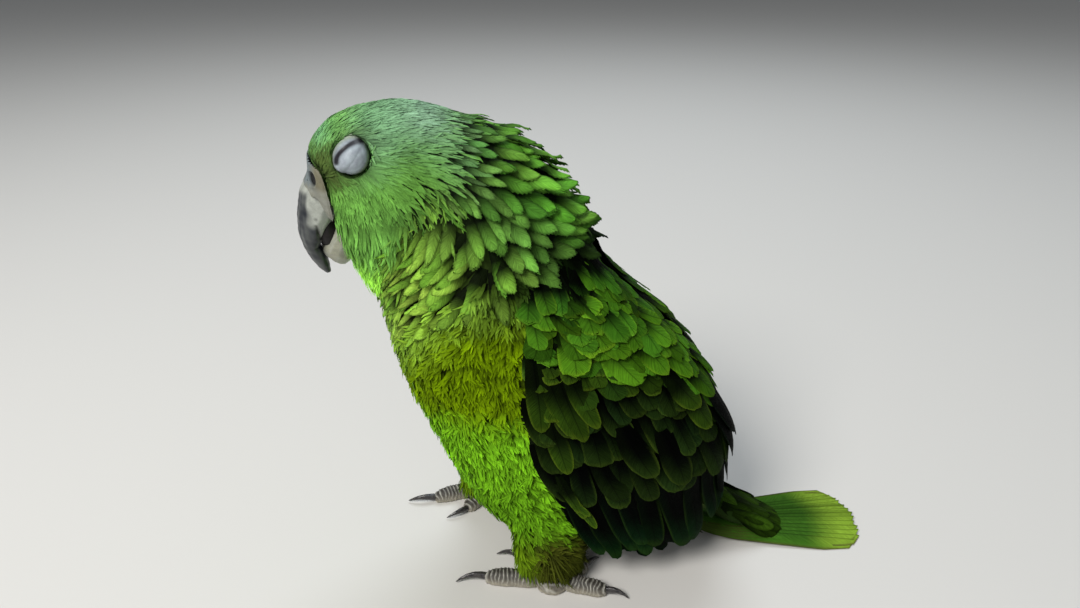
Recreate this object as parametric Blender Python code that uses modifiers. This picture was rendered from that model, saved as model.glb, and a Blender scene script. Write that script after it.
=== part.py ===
# An amazon parrot standing still, head turned a little to its left and eyes closed.
# Metres, +Z up. The bird faces -Y, and its left side is +X. The floor is z = 0.

import math

import bmesh
import bpy
import numpy as np
from mathutils import Matrix, Vector

MM = 0.001
GAP = 0.3 * MM                       # clearance where two solids meet

# ---- driving sizes ----------------------------------------------------------------------------
BODY_SIDES = 24                      # corners in one ring of the body
BODY_POWER = 2.3                     # 2 is an ellipse, more is squarer
HEAD_TURN = math.radians(9)          # the face looks this far to the bird's left
TURN_PIVOT_Y = 5 * MM                # the neck turns about a vertical line here
TURN_FROM_Z = 112 * MM               # still below this height ...
TURN_FULL_Z = 160 * MM               # ... and fully turned above this one

# Rings of the plumage from the face to the root of the tail, in mm: top of the ring (y, z),
# underside (y, z), half width, and how far up from the underside it is widest (0 to 1).
BODY = (
    ("face",      (-49.5, 181.0), (-41.0, 161.0), 10.5, 0.50),
    ("forehead",  (-46.0, 190.0), (-35.5, 143.5), 16.5, 0.58),
    ("brow",      (-36.0, 198.3), (-33.0, 138.0), 21.8, 0.60),
    ("crown",     (-17.0, 202.0), (-31.5, 134.0), 24.0, 0.58),
    ("nape",      (8.0, 198.5),   (-30.0, 126.0), 27.5, 0.50),
    ("hindneck",  (31.0, 185.5),  (-26.5, 110.0), 32.0, 0.46),
    ("neck root", (48.5, 161.5),  (-21.0, 88.0),  35.5, 0.46),
    ("mantle",    (62.0, 134.0),  (-7.0, 57.5),   37.0, 0.47),
    ("back",      (84.5, 103.5),  (6.5, 29.0),    37.0, 0.50),
    ("rump",      (109.0, 70.0),  (25.0, 13.0),   36.0, 0.54),
    ("tail root", (113.0, 40.0),  (80.0, 12.0),   25.0, 0.52),
)
HEAD_RINGS = (0.0, 0.35, 0.8, 1.3, 1.8, 2.4, 3.0, 3.5, 4.0)
NECK_FROM, NECK_TO, NECK_ROWS = 4.0, 6.4, 5     # ring numbers, and rows of raised feathers
NECK_RUFFLE = 1.7 * MM               # how far a row's tips stand off the next row
NECK_TIP_AT = 0.88                   # a row swells up to this share of its length
NECK_GROOVE = 0.45                   # lift between two feathers, as a share of the tips' lift
TRUNK_RINGS = (6.4, 6.9, 7.4, 7.9, 8.4, 8.9, 9.45, 10.0)
RING_TRIM = 0.006                    # in ring numbers: half of the gap between two body pieces

BILL_SIDES = 12

# The bill, in mm in the head's own plane: outer curve (y, z), inner edge (y, z), half width.
UPPER_BILL = (
    ((-48.0, 178.0), (-36.0, 167.0), 9.3),
    ((-51.8, 171.5), (-38.5, 163.0), 9.6),
    ((-53.7, 163.0), (-41.6, 159.3), 8.9),
    ((-54.2, 155.5), (-44.6, 154.3), 7.2),
    ((-52.9, 149.3), (-47.0, 149.9), 5.4),
    ((-51.4, 144.8), (-45.2, 145.9), 4.3),
    ((-49.0, 140.2), (-44.7, 141.3), 2.9),
    ((-46.4, 136.9), (-44.6, 137.6), 1.2),
)
LOWER_BILL = (
    ((-40.2, 159.0), (-34.5, 155.0), 8.6),
    ((-43.4, 154.4), (-35.5, 149.0), 8.6),
    ((-45.8, 150.2), (-36.0, 143.8), 7.4),
    ((-45.6, 147.0), (-38.5, 141.3), 5.4),
    ((-44.2, 144.6), (-42.0, 142.1), 2.6),
)
CERE = (
    ((-45.8, 182.4), (-37.0, 170.0), 9.3),
    ((-50.0, 179.0), (-40.0, 168.5), 10.3),
    ((-52.6, 174.6), (-42.5, 168.5), 10.2),
)
NOSTRIL_AT = (4.6 * MM, -51.0 * MM, 177.3 * MM)
NOSTRIL_RADIUS = 1.1 * MM

EYE_AT = (16.0 * MM, -32.0 * MM, 186.0 * MM)    # centre of the left eyeball before the turn
EYE_RADIUS = 5.2 * MM
LID_THICK = 0.8 * MM
SOCKET_RADIUS = 6.8 * MM

# The folded wing lies on an upright sheet, wrapped from the spine to the wing's front edge.
# Its sections in mm: height, centre y, half width, reach to the rear, reach to the front.
WING_SHEET = (
    (152.0, 36.0, 13.0, 1.0, 40.0),
    (136.0, 42.0, 23.0, 10.0, 50.0),
    (118.0, 46.0, 31.5, 25.5, 56.0),
    (94.0, 50.5, 36.5, 44.0, 62.0),
    (70.0, 56.0, 38.0, 54.5, 62.0),
    (43.0, 64.0, 36.5, 51.0, 58.0),
    (20.0, 72.0, 35.0, 43.0, 52.0),
    (0.0, 78.0, 31.0, 33.0, 46.0),
)
WING_POWER = 2.5
WING_RADIUS = 40 * MM                # of the sheet, roughly
WING_SLANT = math.radians(7)         # feathers drift to the rear on their way down
FEATHER_SCALLOP = (0.0, 0.86, 0.9)   # tip shape at a feather's edge and at its two shoulders

# Layers of the folded wing: name, layer height in and out (mm), rows, feathers, angle at the
# rear and the front (degrees from the spine), and (root z, tip z) at rear, middle and front.
WING_LAYERS = (
    ("primaries",   0.0, 1.9, 5, 6, 30, 117, ((84, 14), (92, 20), (104, 25)), 6.0),
    ("secondaries", 2.5, 4.2, 5, 6, 3, 110, ((100, 36), (96, 23), (86, 32)), 5.0),
    ("coverts",     4.8, 6.4, 5, 7, 12, 112, ((124, 68), (128, 54), (112, 60)), 6.0),
    ("scapulars",   7.0, 8.6, 4, 5, 3, 84, ((150, 94), (146, 92), (140, 110)), 5.0),
)

TAIL_ROOT_Y = 90 * MM
TAIL_FLAT_FROM_Y = 124 * MM          # the tail lies flat on the floor from here to its end
TAIL_END_Y = 186 * MM
TAIL_ROOT_Z = 15 * MM                # underside of the tail at its root
TAIL_THICK_ROOT = 6.0 * MM
TAIL_THICK_END = 2.0 * MM
TAIL_WIDTH_ROOT = 9.5 * MM           # half widths
TAIL_WIDTH_END = 22.0 * MM
TAIL_FEATHERS = 8
TAIL_ROUNDING = 9.0 * MM             # how much shorter the outer feathers are
TAIL_SCALLOP = 4.0 * MM
TAIL_STATIONS = (0.0, 0.12, 0.24, 0.36, 0.6, 1.0)
TAIL_COVERTS = (                     # centre y and z, half width and half height, in mm
    (100, 33, 10.0, 8.0),
    (110, 24, 12.5, 8.5),
    (120, 14.5, 13.5, 7.0),
    (131, 8.2, 13.0, 4.6),
    (142, 5.0, 9.5, 1.6),
)
VENT_COVERTS = (
    (78, 13.0, 12.0, 7.0),
    (92, 9.8, 12.5, 6.6),
    (106, 5.2, 12.0, 4.4),
    (116, 2.6, 9.0, 1.8),
)
COVERT_LEAN = 2                      # mm
COVERT_SIDES = 12

# Feet: two toes forward (2 inner, 3 outer), two back (1 inner, 4 outer).
FOOT_LEFT = (32.0 * MM, 38.0 * MM)
FOOT_RIGHT = (-33.0 * MM, 13.0 * MM)
FOOT_YAW = {"left": 0.0, "right": math.radians(5)}
BALL_RADIUS = 6.4 * MM
TARSUS_RADIUS = 3.8 * MM
TARSUS_TOP = 20 * MM
# name, heading from straight ahead towards the outside (degrees), bend of the claw against
# the toe (degrees), toe length from the ball's centre and claw length (mm), thickness.
TOES = (
    ("1", -152, 10, 17.0, 8.5, 0.86),
    ("2", -48, 26, 19.0, 11.0, 0.92),
    ("3", -9, 13, 27.5, 13.5, 1.0),
    ("4", 163, -6, 22.5, 10.0, 0.96),
)
TOE_HALF_WIDTH = 3.3 * MM
TOE_HEIGHT = 6.2 * MM
CLAW_RADIUS = 1.9 * MM
CLAW_TIP_RADIUS = 0.35 * MM
CLAW_LIFT = 0.5 * MM                 # the points stay just off the floor

THIGH_RINGS = (                      # centre x, y and z, half width and half depth, in mm
    (17.0, 41.0, 62.0, 14.0, 18.0),
    (20.0, 40.0, 42.0, 14.5, 18.0),
    (23.5, 38.5, 24.0, 12.5, 16.5),
    (26.5, 37.0, 13.0, 11.0, 15.0),
    (27.5, 37.0, 8.6, 9.0, 12.5),
)

FLAT_ANGLE = math.radians(3)         # facets closer than this are joined on the cut wings
SHARP_ANGLE = math.radians(40)

# ---- colours (linear) and roughness -------------------------------------------------------------
HEAD_GREEN = ((0.10, 0.28, 0.05), 0.7)
NECK_GREEN = ((0.16, 0.34, 0.03), 0.7)
BELLY_GREEN = ((0.17, 0.42, 0.03), 0.75)
WING_GREEN = ((0.04, 0.14, 0.02), 0.6)
FLIGHT_DARK = ((0.012, 0.035, 0.012), 0.5)
SCAPULAR_GREEN = ((0.08, 0.24, 0.03), 0.65)
THIGH_GREEN = ((0.25, 0.42, 0.03), 0.75)
BILL_SLATE = ((0.10, 0.10, 0.11), 0.4)
BILL_PALE = ((0.42, 0.38, 0.34), 0.45)
CERE_PALE = ((0.45, 0.44, 0.46), 0.55)
LID_LILAC = ((0.52, 0.48, 0.56), 0.5)
EYE_DARK = ((0.02, 0.012, 0.01), 0.1)
TOE_GREY = ((0.40, 0.37, 0.33), 0.7)
CLAW_BLACK = ((0.015, 0.015, 0.018), 0.25)


def clear_scene():
    for old in list(bpy.data.objects):
        bpy.data.objects.remove(old, do_unlink=True)


def new_collection(name):
    collection = bpy.data.collections.new(name)
    bpy.context.scene.collection.children.link(collection)
    return collection


def material(name, look):
    colour, roughness = look
    made = bpy.data.materials.new(name)
    made.use_nodes = True
    shader = made.node_tree.nodes["Principled BSDF"]
    shader.inputs["Base Color"].default_value = (*colour, 1.0)
    shader.inputs["Roughness"].default_value = roughness
    shader.inputs["Metallic"].default_value = 0.0
    return made


def add_object(name, bm, look=None):
    """Links a closed mesh as a part, or as a cutter where it has no look."""
    bmesh.ops.recalc_face_normals(bm, faces=bm.faces)
    points = [v.co for v in bm.verts]
    low = Vector(min(p[i] for p in points) for i in range(3))
    high = Vector(max(p[i] for p in points) for i in range(3))
    centre = (low + high) / 2
    bmesh.ops.translate(bm, verts=bm.verts, vec=-centre)
    mesh = bpy.data.meshes.new(name)
    bm.to_mesh(mesh)
    bm.free()
    mesh.shade_smooth()
    mesh.set_sharp_from_angle(angle=SHARP_ANGLE)
    made = bpy.data.objects.new(name, mesh)
    made.location = centre
    link(made, look)
    return made


def link(made, look):
    if look is None:
        cutter_group.objects.link(made)
        made.hide_render = True
        made.display_type = "WIRE"
    else:
        part_group.objects.link(made)
        made.data.materials.append(material(made.name, look))
    made.parent = base


def merge_flat(target):
    """Joins the nearly flat facets that cuts leave behind."""
    thin = target.modifiers.new("merge flat", "DECIMATE")
    thin.decimate_type = "DISSOLVE"
    thin.angle_limit = FLAT_ANGLE


def cut(target, *cutters):
    for cutter in cutters:
        boolean = target.modifiers.new("cut " + cutter.name, "BOOLEAN")
        boolean.operation = "DIFFERENCE"
        boolean.solver = "EXACT"
        boolean.object = cutter


# ---- shapes ---------------------------------------------------------------------------------------
def smooth_read(rows, t):
    """Catmull-Rom reading of equal rows of numbers at a fractional row number."""
    rows = np.asarray(rows, dtype=float)
    last = len(rows) - 1
    i = min(int(t), last - 1)
    f = t - i
    p1, p2 = rows[i], rows[i + 1]
    p0 = rows[i - 1] if i > 0 else 2 * p1 - p2
    p3 = rows[i + 2] if i + 2 <= last else 2 * p2 - p1
    return 0.5 * (2 * p1 + (p2 - p0) * f + (2 * p0 - 5 * p1 + 4 * p2 - p3) * f ** 2
                  + (3 * p1 - p0 - 3 * p2 + p3) * f ** 3)


def step(low, high, value):
    f = min(max((value - low) / (high - low), 0.0), 1.0)
    return f * f * (3 - 2 * f)


def turned(point):
    """The neck's twist: turns a point to the bird's left by its height."""
    angle = HEAD_TURN * step(TURN_FROM_Z, TURN_FULL_Z, point.z)
    arm = Vector((point.x, point.y - TURN_PIVOT_Y, 0))
    arm.rotate(Matrix.Rotation(angle, 3, "Z"))
    return Vector((arm.x, arm.y + TURN_PIVOT_Y, point.z))


def egg_ring(top, low, half_width, widest, sides, power=2.0, grow=0.0):
    """A ring across the middle plane, from `top` (y, z) to `low`, widest part way up."""
    top = Vector((0, *top))
    low = Vector((0, *low))
    up = (top - low).normalized()
    depth = (top - low).length
    centre = low + up * depth * widest
    points = []
    for k in range(sides):
        angle = 2 * math.pi * k / sides
        c, s = math.cos(angle), math.sin(angle)
        across = math.copysign(abs(s) ** (2 / power), s) * (half_width + grow)
        reach = (depth * (1 - widest) if c > 0 else depth * widest) + grow
        along = math.copysign(abs(c) ** (2 / power), c) * reach
        points.append(Vector((across, 0, 0)) + centre + up * along)
    return points


def loft(rings):
    """A closed skin over rings of equal count, with a fan at each end."""
    bm = bmesh.new()
    rows = [[bm.verts.new(p) for p in ring] for ring in rings]
    count = len(rows[0])
    for a, b in zip(rows, rows[1:]):
        for k in range(count):
            n = (k + 1) % count
            bm.faces.new((a[k], a[n], b[n], b[k]))
    for row, ring in ((rows[0], rings[0]), (rows[-1], rings[-1])):
        hub = bm.verts.new(sum(ring, Vector()) / count)
        for k in range(count):
            bm.faces.new((row[k], row[(k + 1) % count], hub))
    return bm


def plate(outer, inner):
    """A closed slab between two grids of points, given as columns of equal length."""
    bm = bmesh.new()
    faces = [[[bm.verts.new(p) for p in column] for column in grid] for grid in (outer, inner)]
    columns, rows = len(outer), len(outer[0])
    for grid in faces:
        for i in range(columns - 1):
            for j in range(rows - 1):
                bm.faces.new((grid[i][j], grid[i + 1][j], grid[i + 1][j + 1], grid[i][j + 1]))
    rim = [(i, 0) for i in range(columns)]
    rim += [(columns - 1, j) for j in range(1, rows)]
    rim += [(i, rows - 1) for i in range(columns - 2, -1, -1)]
    rim += [(0, j) for j in range(rows - 2, 0, -1)]
    for (i, j), (m, n) in zip(rim, rim[1:] + rim[:1]):
        bm.faces.new((faces[0][i][j], faces[0][m][n], faces[1][m][n], faces[1][i][j]))
    return bm


def turned_profile(name, profile, look, sides, place):
    """A solid of revolution about Z: profile (radius, z) from the top down its outer side."""
    mesh = bpy.data.meshes.new(name)
    mesh.from_pydata([(r, 0, z) for r, z in profile],
                     [(i, i + 1) for i in range(len(profile) - 1)], [])
    made = bpy.data.objects.new(name, mesh)
    screw = made.modifiers.new("turn", "SCREW")
    screw.steps = screw.render_steps = sides
    screw.use_merge_vertices = True
    screw.merge_threshold = 0.00005
    screw.use_smooth_shade = True
    made.matrix_basis = place
    link(made, look)
    return made


# ---- head, neck and trunk ---------------------------------------------------------------------------
def body_ring(t, grow=0.0):
    numbers = [(*top, *low, width, widest) for _, top, low, width, widest in BODY]
    values = smooth_read(numbers, t)
    top, low, width = values[0:2] * MM, values[2:4] * MM, values[4] * MM
    return egg_ring(top, low, width, values[5], BODY_SIDES, BODY_POWER, grow)


def body_piece(ring_numbers, grow=0.0):
    return loft([[turned(p) for p in body_ring(t, grow)] for t in ring_numbers])


def backed_off(ring_numbers, first, last):
    """The same ring numbers, with the end rings drawn in to leave a gap to the next piece."""
    numbers = list(ring_numbers)
    numbers[0] += RING_TRIM if first else 0
    numbers[-1] -= RING_TRIM if last else 0
    return numbers


def neck_rings():
    """Rows of lifted feathers: each row swells to its tips, then drops to the next row."""
    rings = []
    for row in range(NECK_ROWS):
        for part, swell in ((0.0, 0.0), (NECK_TIP_AT, 1.0)):
            t = NECK_FROM + (NECK_TO - NECK_FROM) * (row + part) / NECK_ROWS
            plain = body_ring(t + (RING_TRIM if not rings else 0))
            wide = body_ring(t, NECK_RUFFLE * swell)
            ring = [a.lerp(b, 1.0 if (k + row) % 2 else NECK_GROOVE)
                    for k, (a, b) in enumerate(zip(plain, wide))]
            rings.append([turned(p) for p in ring])
    rings.append([turned(p) for p in body_ring(NECK_TO - RING_TRIM)])
    return rings


def build_body():
    head = add_object("head", body_piece(backed_off(HEAD_RINGS, False, True)), HEAD_GREEN)
    add_object("neck", loft(neck_rings()), NECK_GREEN)
    trunk_numbers = backed_off(TRUNK_RINGS, True, False)
    add_object("trunk", body_piece(trunk_numbers), BELLY_GREEN)
    wide = [[turned(p) for p in body_ring(t, NECK_RUFFLE + GAP)] for t in (5.2, 5.8, NECK_TO)]
    wide += [[turned(p) for p in body_ring(t + 0.02, GAP)] for t in TRUNK_RINGS]
    wide = add_object("body clearance", loft(wide))
    return head, wide


# ---- face -------------------------------------------------------------------------------------------
def bill_piece(stations, widest, power, sides, grow=0.0):
    rings = []
    for top, low, width in stations:
        ring = egg_ring([v * MM for v in top], [v * MM for v in low], width * MM, widest,
                        sides, power, grow)
        rings.append([turned(p) for p in ring])
    return loft(rings)


def build_face(head):
    add_object("upper_bill", bill_piece(UPPER_BILL, 0.4, 2.1, BILL_SIDES), BILL_SLATE)
    lower = add_object("lower_bill", bill_piece(LOWER_BILL, 0.45, 2.4, BILL_SIDES), BILL_PALE)
    cere = add_object("cere", bill_piece(CERE, 0.45, 2.2, BILL_SIDES), CERE_PALE)
    upper_wide = add_object("upper bill clearance", bill_piece(UPPER_BILL, 0.4, 2.1, BILL_SIDES, GAP))
    lower_wide = add_object("lower bill clearance", bill_piece(LOWER_BILL, 0.45, 2.4, BILL_SIDES, GAP))
    cere_wide = add_object("cere clearance", bill_piece(CERE, 0.45, 2.2, BILL_SIDES, GAP))
    cut(lower, upper_wide)
    cut(cere, upper_wide)
    cut(head, upper_wide, lower_wide, cere_wide)
    for side in (1, -1):
        bm = bmesh.new()
        bmesh.ops.create_cone(bm, cap_ends=True, segments=10, radius1=NOSTRIL_RADIUS,
                              radius2=NOSTRIL_RADIUS, depth=5 * MM)
        spot = turned(Vector((side * NOSTRIL_AT[0], *NOSTRIL_AT[1:])))
        bmesh.ops.transform(bm, matrix=Matrix.Translation(spot)
                            @ Matrix.Rotation(math.radians(52), 4, "X"), verts=bm.verts)
        cut(cere, add_object("nostril %+d" % side, bm))


def ball(radius, segments, place):
    bm = bmesh.new()
    bmesh.ops.create_uvsphere(bm, u_segments=segments, v_segments=segments * 5 // 8,
                              radius=radius)
    bmesh.ops.transform(bm, matrix=place, verts=bm.verts)
    return bm


def build_eye(head, side, name):
    spot = turned(Vector((side * EYE_AT[0], *EYE_AT[1:])))
    look_out = Matrix.Rotation(HEAD_TURN, 4, "Z") @ Matrix.Rotation(side * math.pi / 2, 4, "Y")
    place = Matrix.Translation(spot) @ look_out
    add_object("eye_" + name, ball(EYE_RADIUS, 12, place), EYE_DARK)
    inner = EYE_RADIUS + GAP
    outer = inner + LID_THICK
    bends = [math.radians(a) for a in (14, 36, 57, 76)]
    profile = [(0, outer)] + [(outer * math.sin(a), outer * math.cos(a)) for a in bends]
    profile += [(inner * math.sin(a), inner * math.cos(a)) for a in reversed(bends)]
    turned_profile("eyelid_" + name, profile + [(0, inner)], LID_LILAC, 12, place)
    cut(head, add_object("socket " + name, ball(SOCKET_RADIUS, 14, place)))


# ---- wings --------------------------------------------------------------------------------------------
def wing_point(z, angle, lift, side):
    """A point on the wing's sheet: height, angle round from the spine, and layer height."""
    heights = [row[0] for row in WING_SHEET]
    t = np.interp(-z / MM, [-h for h in heights], range(len(heights)))
    _, middle, width, rear, front = smooth_read(WING_SHEET, float(t)) * MM
    c, s = math.cos(angle), math.sin(angle)
    reach = (rear if c > 0 else front) + lift
    y = middle + math.copysign(abs(c) ** (2 / WING_POWER), c) * reach
    x = abs(s) ** (2 / WING_POWER) * (width + lift)
    return Vector((side * x, y, z))


def wing_grid(layer, lift, side, grow=0.0):
    _, _, _, rows, feathers, rear, front, ends, scallop = layer
    columns = []
    steps = feathers * len(FEATHER_SCALLOP)
    for i in range(steps + 1):
        f = i / steps
        root_z, tip_z = [np.interp(f, (0, 0.5, 1), [pair[n] for pair in ends]) for n in (0, 1)]
        root_z += grow / MM
        tip_z -= scallop * FEATHER_SCALLOP[i % len(FEATHER_SCALLOP)] + grow / MM
        angle = math.radians(rear + (front - rear) * f) + (2 * f - 1) * grow / WING_RADIUS
        column = []
        for j in range(rows):
            along = j / (rows - 1)
            z = (root_z + (tip_z - root_z) * along) * MM
            slant = WING_SLANT * along * math.sin(math.pi * f) ** 0.5 if 0 < f < 1 else 0.0
            column.append(wing_point(z, angle - slant, lift, side))
        columns.append(column)
    return columns


def build_wing(side, name, clearances):
    looks = {"primaries": FLIGHT_DARK, "secondaries": FLIGHT_DARK,
             "coverts": WING_GREEN, "scapulars": SCAPULAR_GREEN}
    under = list(clearances)
    for layer in WING_LAYERS:
        low, high = layer[1] * MM, layer[2] * MM
        bm = plate(wing_grid(layer, high, side), wing_grid(layer, low, side))
        made = add_object("wing_%s_%s" % (name, layer[0]), bm, looks[layer[0]])
        cut(made, *under)
        merge_flat(made)
        bm = plate(wing_grid(layer, high + GAP, side, GAP), wing_grid(layer, low - GAP, side, GAP))
        under.append(add_object("%s clearance %s" % (layer[0], name), bm))


# ---- tail ---------------------------------------------------------------------------------------------
def tail_floor(y):
    """Height of the tail's underside: down from the root, then flat on the floor."""
    f = min(max((TAIL_FLAT_FROM_Y - y) / (TAIL_FLAT_FROM_Y - TAIL_ROOT_Y), 0.0), 1.0)
    return TAIL_ROOT_Z * f ** 2


def tail_grid(top, end_y, grow, feathers, start_y=TAIL_ROOT_Y, scallop=TAIL_SCALLOP):
    columns = []
    steps = feathers * len(FEATHER_SCALLOP)
    for i in range(steps + 1):
        across = 2 * i / steps - 1
        tip_y = end_y - TAIL_ROUNDING * across ** 2
        tip_y -= scallop * (1 - FEATHER_SCALLOP[i % len(FEATHER_SCALLOP)])
        column = []
        for f in TAIL_STATIONS:
            y = start_y + (tip_y - start_y) * f
            spread = max(y - TAIL_ROOT_Y, 0) / (TAIL_END_Y - TAIL_ROOT_Y)
            width = TAIL_WIDTH_ROOT + (TAIL_WIDTH_END - TAIL_WIDTH_ROOT) * spread ** 0.8 + grow
            thick = TAIL_THICK_ROOT + (TAIL_THICK_END - TAIL_THICK_ROOT) * spread
            crown = thick * (0.55 + 0.45 * math.sqrt(max(1 - across ** 2, 0)))
            z = tail_floor(y) + (crown * top + grow if top else -grow)
            column.append(Vector((across * width, y, z)))
        columns.append(column)
    return columns


def covert_pad(stations, lean):
    """A closed pad of short feathers along the tail's root."""
    rings = []
    for y, z, half, height in stations:
        top = ((y + lean) * MM, (z + height) * MM)
        low = ((y - lean) * MM, (z - height) * MM)
        rings.append(egg_ring(top, low, half * MM, 0.5, COVERT_SIDES, 2.2))
    return loft(rings)


def build_tail(body_wide):
    tail = add_object("tail", plate(tail_grid(1, TAIL_END_Y, 0, TAIL_FEATHERS),
                                    tail_grid(0, TAIL_END_Y, 0, TAIL_FEATHERS)), FLIGHT_DARK)
    cut(tail, body_wide)
    wide = add_object("tail clearance", plate(
        tail_grid(1, TAIL_END_Y + GAP, GAP, 4, TAIL_ROOT_Y - 2 * MM, 0),
        tail_grid(0, TAIL_END_Y + GAP, GAP, 4, TAIL_ROOT_Y - 2 * MM, 0)))
    upper = add_object("tail_coverts", covert_pad(TAIL_COVERTS, COVERT_LEAN), SCAPULAR_GREEN)
    under = add_object("vent_coverts", covert_pad(VENT_COVERTS, 0), THIGH_GREEN)
    for pad in (upper, under):
        cut(pad, body_wide, wide)
    return wide


# ---- legs ---------------------------------------------------------------------------------------------
def toe_ring(centre, ahead, half_width, height, sides=8):
    """A ring across a toe that stands on the floor: its underside is flat at z = 0."""
    beside = Vector((-ahead.y, ahead.x, 0))
    points = []
    for k in range(sides):
        angle = 2 * math.pi * (k + 0.5) / sides
        z = centre.z + math.sin(angle) * height * 0.62
        points.append(Vector((centre.x, centre.y, 0)) + beside * math.cos(angle) * half_width
                      + Vector((0, 0, max(z, 0.0))))
    return points


def heading(side, yaw, degrees):
    angle = math.radians(degrees) + yaw * -1
    return Vector((side * math.sin(angle), -math.cos(angle), 0))


def build_toe(foot, side, yaw, name, toe):
    label, turn, bend, length, claw_length, size = toe
    ahead = heading(side, yaw, turn)
    start = Vector((*foot, 0)) + ahead * (BALL_RADIUS + GAP * 1.5)
    run = length * MM - BALL_RADIUS
    rings = []
    for f, wide, tall in ((0.0, 0.80, 0.92), (0.22, 1.0, 1.0), (0.44, 0.9, 0.9), (0.66, 0.98, 0.9),
                          (0.86, 0.86, 0.8), (1.0, 0.55, 0.55)):
        centre = start + ahead * run * f + Vector((0, 0, TOE_HEIGHT * size * tall * 0.42))
        rings.append(toe_ring(centre, ahead, TOE_HALF_WIDTH * size * wide, TOE_HEIGHT * size * tall))
    add_object("toe_%s_%s" % (name, label), loft(rings), TOE_GREY)
    point_to = heading(side, yaw, turn + bend)
    root = start + ahead * (run + GAP) + Vector((0, 0, TOE_HEIGHT * size * 0.36))
    rings = []
    drop = root.z - CLAW_LIFT - CLAW_TIP_RADIUS
    for f in (0.0, 0.2, 0.42, 0.64, 0.84, 1.0):
        radius = (CLAW_RADIUS * size) * (1 - f ** 1.6) + CLAW_TIP_RADIUS * f ** 1.6
        way = ahead.lerp(point_to, f)
        arch = math.sin(f * math.pi * 0.72) * 1.6 * MM
        centre = root + way * claw_length * MM * f + Vector((0, 0, arch - (drop + 1.24 * MM) * f ** 2.2))
        lean = math.atan2(1.6 * MM * math.cos(f * 2.2) * 2.2 - 2.2 * drop * f ** 1.2,
                          claw_length * MM)
        lean *= step(0, 0.3, f)
        up = Vector((0, 0, 1)) * math.cos(lean) - way.normalized() * math.sin(lean)
        beside = Vector((-way.y, way.x, 0)).normalized()
        rings.append([centre + beside * math.cos(a) * radius * 0.8 + up * math.sin(a) * radius
                      for a in (2 * math.pi * k / 6 for k in range(6))])
    add_object("claw_%s_%s" % (name, label), loft(rings), CLAW_BLACK)


def thigh_rings(side, foot, grow=0.0):
    shift = Vector((foot[0] - side * FOOT_LEFT[0], foot[1] - FOOT_LEFT[1], 0))
    rings = []
    top_z = THIGH_RINGS[0][2]
    for x, y, z, half, deep in THIGH_RINGS:
        drift = shift * (1 - 0.55 * (z - THIGH_RINGS[-1][2]) / (top_z - THIGH_RINGS[-1][2]))
        centre = Vector((side * x, y, z)) * MM + drift
        half = half * MM + grow
        deep = deep * MM + grow
        rings.append([centre + Vector((math.cos(a) * half, math.sin(a) * deep, 0))
                      for a in (2 * math.pi * k / 16 for k in range(16))])
    return rings


def build_leg(side, name, foot, body_wide):
    yaw = FOOT_YAW[name]
    profile = ((0, TARSUS_TOP), (TARSUS_RADIUS, TARSUS_TOP), (TARSUS_RADIUS, 8 * MM),
               (BALL_RADIUS - 0.6 * MM, 5.4 * MM), (BALL_RADIUS, 2 * MM),
               (BALL_RADIUS - 0.8 * MM, 0), (0, 0))
    place = Matrix.Translation((*foot, 0))
    turned_profile("tarsus_" + name, profile, TOE_GREY, 14, place)
    bm = bmesh.new()
    bmesh.ops.create_cone(bm, cap_ends=True, segments=14, radius1=TARSUS_RADIUS + GAP,
                          radius2=TARSUS_RADIUS + GAP, depth=TARSUS_TOP + GAP)
    bmesh.ops.translate(bm, verts=bm.verts, vec=(*foot, (TARSUS_TOP + GAP) / 2))
    tarsus_wide = add_object("tarsus clearance " + name, bm)
    thigh = add_object("thigh_" + name, loft(thigh_rings(side, foot)), THIGH_GREEN)
    cut(thigh, body_wide, tarsus_wide)
    for toe in TOES:
        build_toe(foot, side, yaw, name, toe)


def centre_on_floor():
    """Moves the bird so that the middle of its box stands on the origin."""
    bpy.context.view_layer.update()
    graph = bpy.context.evaluated_depsgraph_get()
    corners = []
    for part in part_group.objects:
        if part.type == "MESH":
            seen = part.evaluated_get(graph)
            corners += [part.matrix_world @ v.co for v in seen.data.vertices]
    for axis in (0, 1):
        values = [c[axis] for c in corners]
        base.location[axis] = -(min(values) + max(values)) / 2
    bpy.context.view_layer.update()


clear_scene()
part_group = new_collection("amazon_parrot")
cutter_group = new_collection("cutters")
base = bpy.data.objects.new("parrot_base", None)
part_group.objects.link(base)

head, body_wide = build_body()
build_face(head)
for side, name in ((1, "left"), (-1, "right")):
    build_eye(head, side, name)
tail_wide = build_tail(body_wide)
for side, name, foot in ((1, "left", FOOT_LEFT), (-1, "right", FOOT_RIGHT)):
    thigh_wide = add_object("thigh clearance " + name, loft(thigh_rings(side, foot, GAP)))
    build_wing(side, name, (body_wide, tail_wide, thigh_wide))
    build_leg(side, name, foot, body_wide)
centre_on_floor()
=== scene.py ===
# A still, life-size amazon parrot: skin, feathers, bill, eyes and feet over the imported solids.
import math
import time

import bpy
import bmesh
import numpy as np
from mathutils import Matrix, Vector
from mathutils.bvhtree import BVHTree
from mathutils.kdtree import KDTree


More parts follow.
